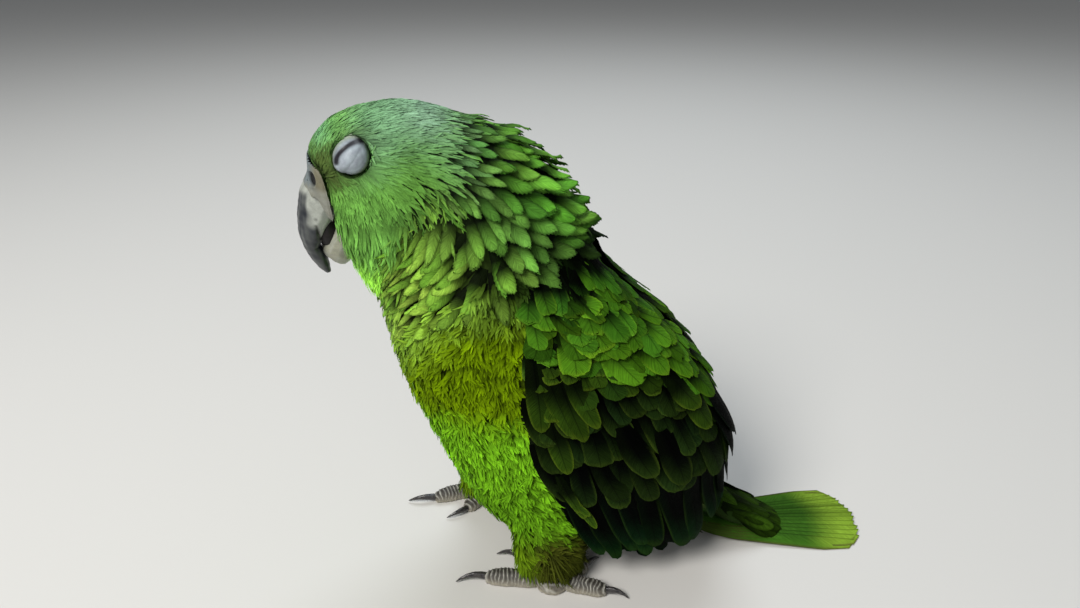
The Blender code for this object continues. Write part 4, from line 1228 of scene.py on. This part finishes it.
def makeShadePlate(sheet, name):
    heights, rears, fronts = np.array(shadePlate, dtype=float).T
    z = np.arange(heights[0], heights[-1], shadePlateLook["step"])[:, None]
    rear, front = (np.radians(np.interp(z, heights, ends)) for ends in (rears, fronts))
    u = np.linspace(0, 1, shadePlateLook["across"])
    angle = rear + (front - rear) * u
    z = z + 0 * angle
    edge = np.clip(np.minimum(u, 1 - u) * 8, 0, 1)
    lifts = shadePlateLook["lift"] - shadePlateLook["thick"] * np.array([(1 - edge) * 0.45, np.ones_like(edge)])
    points = np.stack([sheetPoint(sheet, z, angle, lift) for lift in lifts])
    back = angle.size
    grid = np.arange(back).reshape(angle.shape)
    rim = np.concatenate([grid[0, :-1], grid[:-1, -1], grid[-1, :0:-1], grid[:0:-1, 0]])
    after = np.roll(rim, -1)
    walls = np.stack([after, rim, rim + back, after + back], -1)
    quads = np.concatenate([cellsOf(grid), cellsOf(grid)[:, ::-1] + back, walls])[:, ::sheet["side"]]
    barb = np.stack([z, angle * 40, 0 * angle], -1)
    # near black: painted shade in the gaps between the wing feathers
    colours = np.tile(np.array(shadePlateLook["colour"]), (2 * back, 1))
    return featherMesh(name + "_under", points, quads, colours, np.stack([barb] * 2),
                       np.stack([wingSpot(z, angle)] * 2))


def makeWing(sheet, name):
    pieces = [makeShadePlate(sheet, name)]
    for n, row in enumerate(wingRows):
        label, kind, heights, (rear, front), many, length, width, (low, high), slant, loose = row
        look = wingLooks[kind]
        dice = np.random.default_rng(100 + n + (50 if sheet["side"] < 0 else 0))
        share = (np.arange(many) + (0.55 if n % 2 else 0.2)) / many
        angle = rear + (front - rear) * share

        def stray(key, middle=0):
            return dice.normal(middle, wingStray[key] * loose, many)

        f = {
            "z": np.interp(share, (0, 0.5, 1), heights) + stray("z"),
            "angle": np.radians(angle + stray("angle")),
            "length": length * stray("size", 1),
            "width": width * stray("size", 1),
            "rootLift": np.full(many, low),
            "tipLift": high + stray("tip"),
            "slant": np.radians(slant) * np.sin(math.pi * (0.1 + 0.65 * share)) + stray("slant"),
            "curve": stray("curve"),
            "tone": dice.normal(0, look.get("spread", 0.20), many).clip(-0.65, 0.6),
            "rim": dice.uniform(*look["rim"], many),
            "cool": (dice.random(many) ** 2) * 0.5,
        }
        f["tone"] = f["tone"] - look.get("frontDark", 0) * fade(88, 108, angle)
        shape = dict(wingShape, ragged=look.get("ragged", wingShape["ragged"]))
        shape["along"] = 16 if length > 30 else wingShape["along"]
        pieces.append(wingVanes(label, sheet, f, shape, look, dice))
    for kind in sorted(set(row[0] for row in wingSingles)):
        z, angle, length, width, low, high, slant, tone = np.array(
            [row[1:] for row in wingSingles if row[0] == kind], dtype=float).T
        many, look = len(z), wingLooks[kind]
        dice = np.random.default_rng(200 + many)
        f = {"z": z, "angle": np.radians(angle), "length": length, "width": width, "rootLift": low,
             "tipLift": high, "slant": np.radians(slant), "tone": tone, "curve": dice.normal(0, 0.06, many),
             "rim": np.full(many, look["rim"][1] * 0.8), "cool": np.full(many, 0.05)}
        pieces.append(wingVanes(kind, sheet, f, singleShape, look, dice))
    joined = joinMeshes("wing_%s_feathers" % name, pieces)
    material = featherMaterial("wing_plume_" + name, "wing")
    addPiece(joined.name, joined, material, "covert_plumage", wingNodes(name))
    report("wing %s: %d faces" % (name, len(joined.polygons)))


def joinMeshes(name, meshes):
    bm = bmesh.new()
    for mesh in meshes:
        bm.from_mesh(mesh)
        bpy.data.meshes.remove(mesh)
    joined = bpy.data.meshes.new(name)
    bm.to_mesh(joined)
    bm.free()
    return joined


# closed lids
def makeLid(frameOf, skinTree):
    side, centre, out, long, wide, ball = frameOf
    around, rings = 72, 34
    halfLong, halfWide, cover = lids["halfLong"], lids["halfWide"], lids["cover"]
    angle = np.arange(around) * 2 * math.pi / around
    r = np.concatenate([np.linspace(0.0, 1.0, rings), [1.05, 1.1, 1.17, 1.25, 1.32]])[:, None]
    a = r * np.cos(angle) * halfLong
    b = r * np.sin(angle) * halfWide
    rimHeight = np.zeros(around)
    for i, turn in enumerate(angle):
        spot = centre + (long * math.cos(turn) * halfLong + wide * math.sin(turn) * halfWide) * 0.001
        hit = skinTree.ray_cast(Vector(spot + out * 0.03), Vector(-out), 0.06)[0]
        rimHeight[i] = (np.array(hit) - centre) @ out * 1000 if hit is not None else 2.0
    for _ in range(6):
        rimHeight = (np.roll(rimHeight, 1) + np.roll(rimHeight, -1) + 2 * rimHeight) / 4
    rimHeight += lids["rimAbove"]
    domed = np.clip(1 - r ** 2.2, 0, 1) ** 0.62
    height = rimHeight + (lids["crown"] - rimHeight) * domed
    ballAt = (ball - centre) * 1000
    flat = (a - ballAt @ long) ** 2 + (b - ballAt @ wide) ** 2
    over = np.sqrt(np.clip(cover ** 2 - flat, 0, None)) + ballAt @ out
    height = np.maximum(height, np.where(flat < cover ** 2, over, -9))
    # the slit: an oval line in the upper part of the lids
    c, s = math.cos(lids["slitTurn"]), math.sin(lids["slitTurn"])
    along, over = a * c - b * s, a * s + b * c
    q = np.hypot((along - lids["slitAt"]) / lids["slitLong"], over / lids["slitWide"])
    upper = fade(0.2, 1.2, over)
    apart = (q - 1) * lids["slitWide"]
    groove = bell(apart / lids["slitThick"]) * upper
    height = height - lids["slitDeep"] * groove - lids["fold"] * fade(0, 0.6, apart) * upper * domed
    height = height + lids["wrinkle"] * np.sin(apart * 5.0 + 0.8 * np.sin(angle * 9)) * fade(0.45, 0.95, r)
    height = height - fade(1.1, 1.32, r) * 2.0
    points = centre + (a[..., None] * long + b[..., None] * wide + height[..., None] * out) * 0.001
    mauve = 0.3 + 0.25 * mottle(points * 1000, 3.0, 61) + 0.25 * upper * fade(0, 1.5, apart)
    colour = mix(lids["pale"], lids["mauve"], np.clip(mauve, 0, 1))
    colour = mix(colour, lids["rim"], fade(0.86, 1.04, r) * np.ones_like(a))
    # the slit's groove painted near black as shade
    colour = mix(colour, lids["slit"], np.clip(groove * 1.3, 0, 1))
    index = np.arange(a.size).reshape(a.shape)
    after = np.roll(index, -1, 1)
    quads = np.stack([index[:-1], index[1:], after[1:], after[:-1]], -1).reshape(-1, 4)
    mesh = fillMesh("lid_" + side, points.reshape(-1, 3), quads[:, ::(-1 if side == "right" else 1)])
    storeColours(mesh, colour)
    material = surfaceMaterial("lid_skin_" + side, "lid")
    addPiece("lid_" + side, mesh, material, "lid_skin", ["eyelid_" + side])


# horn, bare skin and scales over the small solids
surfaceLooks = {
    # fine grain and broad blotch in mm, their colour change, bump height in mm
    "lid": {"grain": 0.45, "blotch": 2.5, "change": 0.16, "bump": 0.06,
            "rough": (0.42, 0.62), "shine": 0.4},
    "bill": {"grain": 0.35, "blotch": 4.0, "change": 0.22, "bump": 0.04,
             "rough": (0.28, 0.55), "shine": 0.5},
    "cere": {"grain": 0.5, "blotch": 2.0, "change": 0.16, "bump": 0.06,
             "rough": (0.5, 0.7), "shine": 0.35},
    "foot": {"grain": 0.4, "blotch": 2.2, "change": 0.25, "bump": 0.10,
             "rough": (0.45, 0.75), "shine": 0.4},
    "claw": {"grain": 0.3, "blotch": 3.0, "change": 0.25, "bump": 0.02,
             "rough": (0.16, 0.32), "shine": 0.6},
}


def surfaceMaterial(name, kind):
    look = surfaceLooks[kind]
    material, make, ranged, shader = newMaterial(name)
    plume = make("Attribute", {}, attribute_name="plume")
    place = make("TexCoord", {}).outputs["Object"]
    fine = make("TexNoise", {"Vector": place, "Scale": 1000 / look["grain"], "Detail": 4.0,
                             "Roughness": 0.6})
    broad = make("TexNoise", {"Vector": place, "Scale": 1000 / look["blotch"], "Detail": 5.0,
                              "Roughness": 0.65, "Distortion": 0.6})
    both = make("Math", {0: fine, 1: 0.45, 2: broad}, operation="MULTIPLY_ADD")
    shade = ranged(both, 0.35, 1.1, 1 - 2 * look["change"], 1 + look["change"])
    colour = make("VectorMath", {0: plume, "Scale": shade}, operation="SCALE")
    bump = make("Bump", {"Height": both, "Strength": 1.0, "Distance": look["bump"] * 0.001})
    make(shader, {"Base Color": colour, "Roughness": ranged(broad, 0.3, 0.7, *look["rough"]),
                  "Normal": bump, "Specular IOR Level": look["shine"]})
    return material


def sculpted(name, sources, voxel, rounds, form, material, slot, swell=0.0, extra=(), keep=None):
    # the solids remade as one smooth surface, shaped and coloured by a form
    points, quads, edges = remeshed(list(sources) + list(extra), voxel, swell)
    points = relaxed(points, edges, rounds)
    normals = quadNormals(points, quads)
    if keep:
        wanted = keep(straightened(toBird(points)))[quads].all(1)
        used, quads = np.unique(quads[wanted], return_inverse=True)
        quads, points, normals = quads.reshape(-1, 4), points[used], normals[used]
    bird = toBird(points)
    push, colours, back = form(straightened(bird), bird, normals)
    points = points + normals * push[:, None] * 0.001
    points[:, 1] += back * 0.001
    points[:, 2] = np.maximum(points[:, 2], 0.0)
    mesh = fillMesh(name, points, quads)
    storeColours(mesh, colours)
    addPiece(name, mesh, material, slot, sources)


bill = {
    "voxel": 0.00035,
    "light": (0.36, 0.38, 0.34),
    "dark": (0.015, 0.019, 0.025),
    "lower": (0.29, 0.29, 0.22),
    # near black: painted shade inside the gape, and in the groove and the pit
    "mouth": (0.006, 0.004, 0.004),
    "edge": (-50.0, 168.0, 0.36),       # where dark horn starts: y, at z, y per mm down
    "soft": 1.8,
    "grooveFrom": (-47.0, 160.0),
    "grooveTo": (-46.0, 153.5),
    "pit": (-46.8, 162.6),
    "mark": 0.55,                       # half width of the groove and the pit, mm
    "markDeep": 0.35,
}
cere = {
    "voxel": 0.00035,
    "skin": (0.15, 0.18, 0.19),
    "warm": (0.15, 0.14, 0.09),
    "horn": (0.23, 0.235, 0.20),
    "nostril": (-46.5, 178.2),          # y, z on the straightened head
    "nostrilSize": (1.4, 2.5),
    # near black: painted shade inside the nostril
    "hole": (0.001, 0.001, 0.0015),
    "edgeY": (-43, -41.6, -41.6, -42.9, -43.8, -44.6, -46.8, -50),     # where the feathers start, y at z
    "edgeZ": (158, 165, 170, 177, 180.3, 182, 183.5, 185),
    "flank": 15.4,                      # half its width where it is narrowest, mm
    "sink": 2.6,                        # how far the front of the cere is set back, mm
}
mouth = {"at": (0.0, -43.6, 156.5), "size": (6.4, 4.2, 8.5)}
foot = {
    "voxel": 0.0004,
    "scale": 1.65,                      # spacing of the scutes along a toe, mm
    "ridge": (0.42, 0.41, 0.36),
    "groove": (0.030, 0.026, 0.020),
    "side": (0.14, 0.125, 0.10),
    "pad": (0.36, 0.33, 0.26),
    "rise": 0.55,
    "fat": 0.95,
    "centre": 4.5,                      # the toes' scutes start this far from the leg's axis, mm
    "tuck": 2.2,                        # how much thinner the shank is under the feathers, mm
}
claw = {"voxel": 0.00022, "horn": (0.022, 0.020, 0.022), "root": (0.10, 0.09, 0.08)}
beakTree = treeOf("upper_bill", "lower_bill", "cere")


def formUpperBill(p, bird, normals):
    _, y, z = p.T
    edgeY, edgeZ, drop = bill["edge"]
    limit = edgeY + (edgeZ - z) * drop + 1.2 * mottle(p, 7.0, 71)
    streak = mottle(p * np.array([1, 1, 0.35]), 2.4, 72)
    dark = np.clip(fade(limit + bill["soft"], limit - bill["soft"], y) * 0.95 + 0.10 * streak, 0, 1)
    band = fade(-47.0, -45.6, y) * fade(150, 154, z)
    colour = mix(bill["light"], bill["dark"], dark * (1 - 0.85 * band))
    (ay, az), (by, bz) = bill["grooveFrom"], bill["grooveTo"]
    s = np.clip((az - z) / (az - bz), 0, 1)
    groove = bell((y - (ay + (by - ay) * s)) / bill["mark"], (z - (az + (bz - az) * s)) / bill["mark"])
    hole = bell((y - bill["pit"][0]) / bill["mark"], (z - bill["pit"][1]) / bill["mark"])
    mark = np.clip(groove + hole * 0.8, 0, 1)
    # the groove and the pit painted dark, as shade in them
    colour = mix(colour, bill["mouth"], mark * 0.75)
    return 0.04 * np.sin(z * 2.2 + y) * dark - bill["markDeep"] * mark, colour, 0


def formLowerBill(p, bird, normals):
    _, y, z = p.T
    colour = mix(bill["lower"], bill["dark"], fade(-43.5, -46.5, y) * 0.7)
    colour = mix(colour, bill["light"], fade(0.2, 0.9, mottle(p, 5.0, 73)) * 0.35)
    return 0.04 * np.sin(z * 2.6) + 0.9 * fade(-43.5, -46.0, y), colour, 0


def beakGap(bird, limit=9.0):
    # distance in mm to the bill or the cere, up to a limit
    spots = toMetres(bird)
    low, high = (np.array(corner) for corner in (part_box("upper_bill")[0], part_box("cere")[1]))
    close = ((spots > low - 0.02) & (spots < high + 0.02)).all(1)
    near = np.full(len(bird), limit)
    near[close] = [beakTree.find_nearest(q)[3] * 1000 for q in spots[close].tolist()]
    return np.minimum(near, limit)


def bareShare(p):
    # 1 on the bare skin round the cere and bill root, 0 under the feathers
    x, y, z = p.T
    edge = np.interp(z, cere["edgeZ"], cere["edgeY"])
    flank = cere["flank"] + 1.2 * fade(162, 174, z)
    return (fade(edge + 0.6, edge - 0.6, y) * fade(160, 166, z) * fade(185, 184, z)
            * fade(flank + 0.6, flank - 0.6, np.abs(x)))


def formCere(p, bird, normals):
    x, y, z = p.T
    (nostrilY, nostrilZ), (across, tall) = cere["nostril"], cere["nostrilSize"]
    nostril = np.hypot((y - nostrilY) / across, (z - nostrilZ) / tall)
    hole = fade(1.15, 0.85, nostril) * fade(8.4, 9.8, np.abs(x))
    colour = mix(cere["skin"], cere["warm"], fade(-47.0, -44.5, y))
    colour = mix(colour, cere["horn"], fade(176.5, 173.0, z))
    colour = mix(colour, cere["warm"], fade(-0.3, 1.2, mottle(p, 4.0, 74)) * 0.3)
    edge = 0.6 * fade(0.75, 0.1, bareShare(p)) + 0.1
    back = cere["sink"] * fade(-46.5, -51.5, y) * fade(165, 172, z)
    # the nostril carved in and painted near black as the shade inside it
    return -0.9 * hole + 0.2 * bell((nostril - 1.3) / 0.2) - edge, mix(colour, cere["hole"], hole), back


def keepCere(p):
    return (bareShare(p) > 0.02) & (p[:, 2] > 158)


def makeMouth():
    # lining that closes the gape between the two halves of the bill, near black as painted shade inside the
    # gape
    bm = bmesh.new()
    bmesh.ops.create_icosphere(bm, subdivisions=4, radius=1.0)
    mesh = bpy.data.meshes.new("mouth_lining")
    bm.to_mesh(mesh)
    bm.free()
    local = pulled(mesh.vertices, "co", 3) * np.array(mouth["size"]) + np.array(mouth["at"])
    spun = turnedWays(local - neckPivot, local[:, 2]) + neckPivot
    mesh.vertices.foreach_set("co", toMetres(spun).ravel())
    mesh.shade_smooth()
    storeColours(mesh, np.array(bill["mouth"]))
    addPiece("mouth_lining", mesh, surfaceMaterial("mouth_dark", "cere"), "lower_bill_horn")


def formFoot(p, bird, normals):
    side = "left" if bird[:, 0].mean() > 0 else "right"
    centre = toBird(np.array(mid("tarsus_" + side)))
    z, start = bird[:, 2], foot["centre"]
    far = np.hypot(bird[:, 0] - centre[0], bird[:, 1] - centre[1])
    along = np.where(far > start, far, start + np.maximum(z - 6.0, 0))
    phase = (along / foot["scale"] + 0.25 * mottle(bird, 5.0, 75)) % 1.0
    crest = bell((phase - 0.5) / 0.14) * (0.75 + 0.25 * mottle(bird, 2.5, 78))
    top = np.maximum(fade(-0.3, 0.3, normals[:, 2]), fade(8.0, 10.0, z))
    crown = np.maximum(fade(0.2, 0.8, normals[:, 2]), fade(8.0, 10.0, z))
    colour = mix(mix(foot["side"], foot["groove"], crown), foot["ridge"], crest)
    colour = mix(foot["pad"], colour, top)
    pebble = mottle(bird, 1.3, 76)
    push = foot["fat"] + foot["rise"] * (crest - 0.5) * top + 0.12 * pebble * (1 - top)
    push = push * fade(0.0, 1.0, z) - foot["tuck"] * fade(12, 18, z)
    return push, colour * (1 + 0.1 * pebble)[:, None], 0


def formClaw(p, bird, normals):
    streak = mottle(bird * np.array([1, 1, 2.5]), 2.0, 77)
    return 0.02 * streak, mix(claw["horn"], claw["root"], np.clip(0.2 + 0.25 * streak, 0, 1)), 0


def makeSmallParts():
    horn = surfaceMaterial("bill_horn", "bill")
    sculpted("bill_upper", ["upper_bill"], bill["voxel"], 8, formUpperBill, horn, "upper_bill_horn")
    sculpted("bill_lower", ["lower_bill"], bill["voxel"], 8, formLowerBill, horn, "lower_bill_horn")
    sculpted("cere_skin", ["cere"], cere["voxel"], 8, formCere, surfaceMaterial("cere_leather", "cere"),
             "cere_skin", 0.0003, ["head"], keepCere)
    makeMouth()
    scales = surfaceMaterial("foot_scales", "foot")
    horn = surfaceMaterial("claw_horn", "claw")
    for side in ("left", "right"):
        toes = ["toe_%s_%d" % (side, n) for n in range(1, 5)]
        claws = ["claw_%s_%d" % (side, n) for n in range(1, 5)]
        sculpted("foot_" + side, ["tarsus_" + side] + toes, foot["voxel"], 8, formFoot, scales, "toe_skin")
        sculpted("claws_" + side, claws, claw["voxel"], 5, formClaw, horn, "claw_horn")


# eyeballs behind the lids
eyeball = {"fibres": 900.0, "dark": (0.35, (0.02, 0.008, 0.004)), "light": (0.7, (0.35, 0.10, 0.02))}


def dressEyes():
    for side in ("left", "right"):
        material, make, _, shader = newMaterial("eyeball_" + side)
        place = make("TexCoord", {}).outputs["Object"]
        fibres = make("TexNoise", {"Vector": place, "Scale": eyeball["fibres"], "Detail": 4.0})
        ramp = make("ValToRGB", {"Fac": fibres})
        for element, end in zip(ramp.color_ramp.elements, ("dark", "light")):
            element.position, colour = eyeball[end]
            element.color = (*colour, 1)
        bump = make("Bump", {"Height": fibres, "Strength": 0.2, "Distance": 0.0001})
        make(shader, {"Base Color": ramp, "Normal": bump, "Roughness": 0.08, "Coat Weight": 0.8})
        ball = nodes["eye_" + side]
        ball.data.materials.clear()
        ball.data.materials.append(material)
        ball.data.shade_smooth()


tail = {
    "feathers": 12,
    "fan": 1.6,                     # degrees between neighbours
    "width": 14.5,
    "stack": 0.14,
    "start": 96.0,
    "dark": (0.02, 0.055, 0.008),
    "green": (0.05, 0.15, 0.012),
    "end": (0.20, 0.33, 0.03),
    "pink": (0.30, 0.13, 0.09),
    "shape": {"full": 0.8, "tip": 2.6, "root": 0.5},
    "seed": 81,
}


def makeTail():
    low, high = (toBird(np.array(corner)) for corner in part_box("tail"))
    tree = treeOf("tail")
    centreX = (low[0] + high[0]) / 2
    steps, across, many = 22, 8, tail["feathers"]
    s, j = np.broadcast_arrays(np.linspace(0, 1, steps + 1)[:, None], np.linspace(-1, 1, across + 1))
    dice = np.random.default_rng(tail["seed"])
    side = tail["width"] / 2 * outline(s, tail["shape"]) * j
    colour = mix(tail["dark"], tail["green"], np.clip(0.4 + 0.6 * np.abs(j), 0, 1))
    colour = mix(colour, tail["end"], fade(0.72, 0.92, s))
    colour = mix(colour, tail["pink"], fade(0.8, 1.0, np.abs(j)) * 0.35)
    colour = colour * (1 - 0.55 * fade(0.75, 1.0, np.abs(j)))[..., None]
    points, colours, barbs, spots = [], [], [], []
    for n, k in enumerate(sorted(np.arange(many) - (many - 1) / 2, key=lambda k: -abs(k))):
        length = high[1] - tail["start"] - 0.35 * abs(k) ** 1.5 + dice.normal(0, 0.8)
        turn = math.radians(tail["fan"] * k)
        along = s * length
        x = centreX + k * 0.5 + along * math.sin(turn) + side * math.cos(turn)
        y = tail["start"] + along * math.cos(turn) - side * math.sin(turn)
        x = np.clip(x, low[0] + 0.2, high[0] - 0.2)
        top = np.empty(x.shape)
        for i in range(steps + 1):
            spine = (centreX * 0.5 + x[i, across // 2] * 0.5, min(y[i, across // 2], high[1] - 3), 60.0)
            hit = tree.ray_cast(Vector(toMetres(spine)), Vector((0, 0, -1)))[0]
            top[i] = toBird(np.array(hit))[2] if hit is not None else 3.0
        z = top + tail["stack"] * (n - many) - 0.5 * j ** 2 - 0.06 * np.abs(side) + 0.3 * bell(j * 5)
        points.append(np.stack([x, y, np.maximum(z, 0.3 + 0.12 * n - 0.05 * np.abs(j))], -1))
        colours.append(colour * (1 + dice.normal(0, 0.14)))
        barbs.append(np.stack([along, side, 0 * side + n * 3.0], -1))
        spot = np.array([0.5 + 0.9 * k / many, 0.5])
        spots.append(spot + np.stack([along / length - 0.5, side / 15], -1) * bakePatch)
    mesh = featherMesh("tail_feathers", toMetres(np.stack(points)), vaneGrid(many, steps, across)[1],
                       np.stack(colours), np.stack(barbs), np.stack(spots))
    addPiece("tail_feathers", mesh, featherMaterial("tail_plume", "wing"), "flight_feathers", ["tail"])


makeStudio()
report("studio")
skin = makeSkin()
report("skin, %d faces" % len(skin["quads"]))
sheets = {name: readSheet(side, name) for side, name in ((1, "left"), (-1, "right"))}
skin["wings"] = [sheet["tree"] for sheet in sheets.values()]
report("wing sheets")
for growCoat in (coatFace, coatThroat, coatNeck, coatBreast, coatBelly, coatAnkles, coatBack, coatRump):
    growCoat(skin)
for name, sheet in sheets.items():
    makeWing(sheet, name)
for eye in eyes:
    makeLid(eye, skin["tree"])
dressEyes()
makeSmallParts()
makeTail()
report("lids, bill, feet and tail")
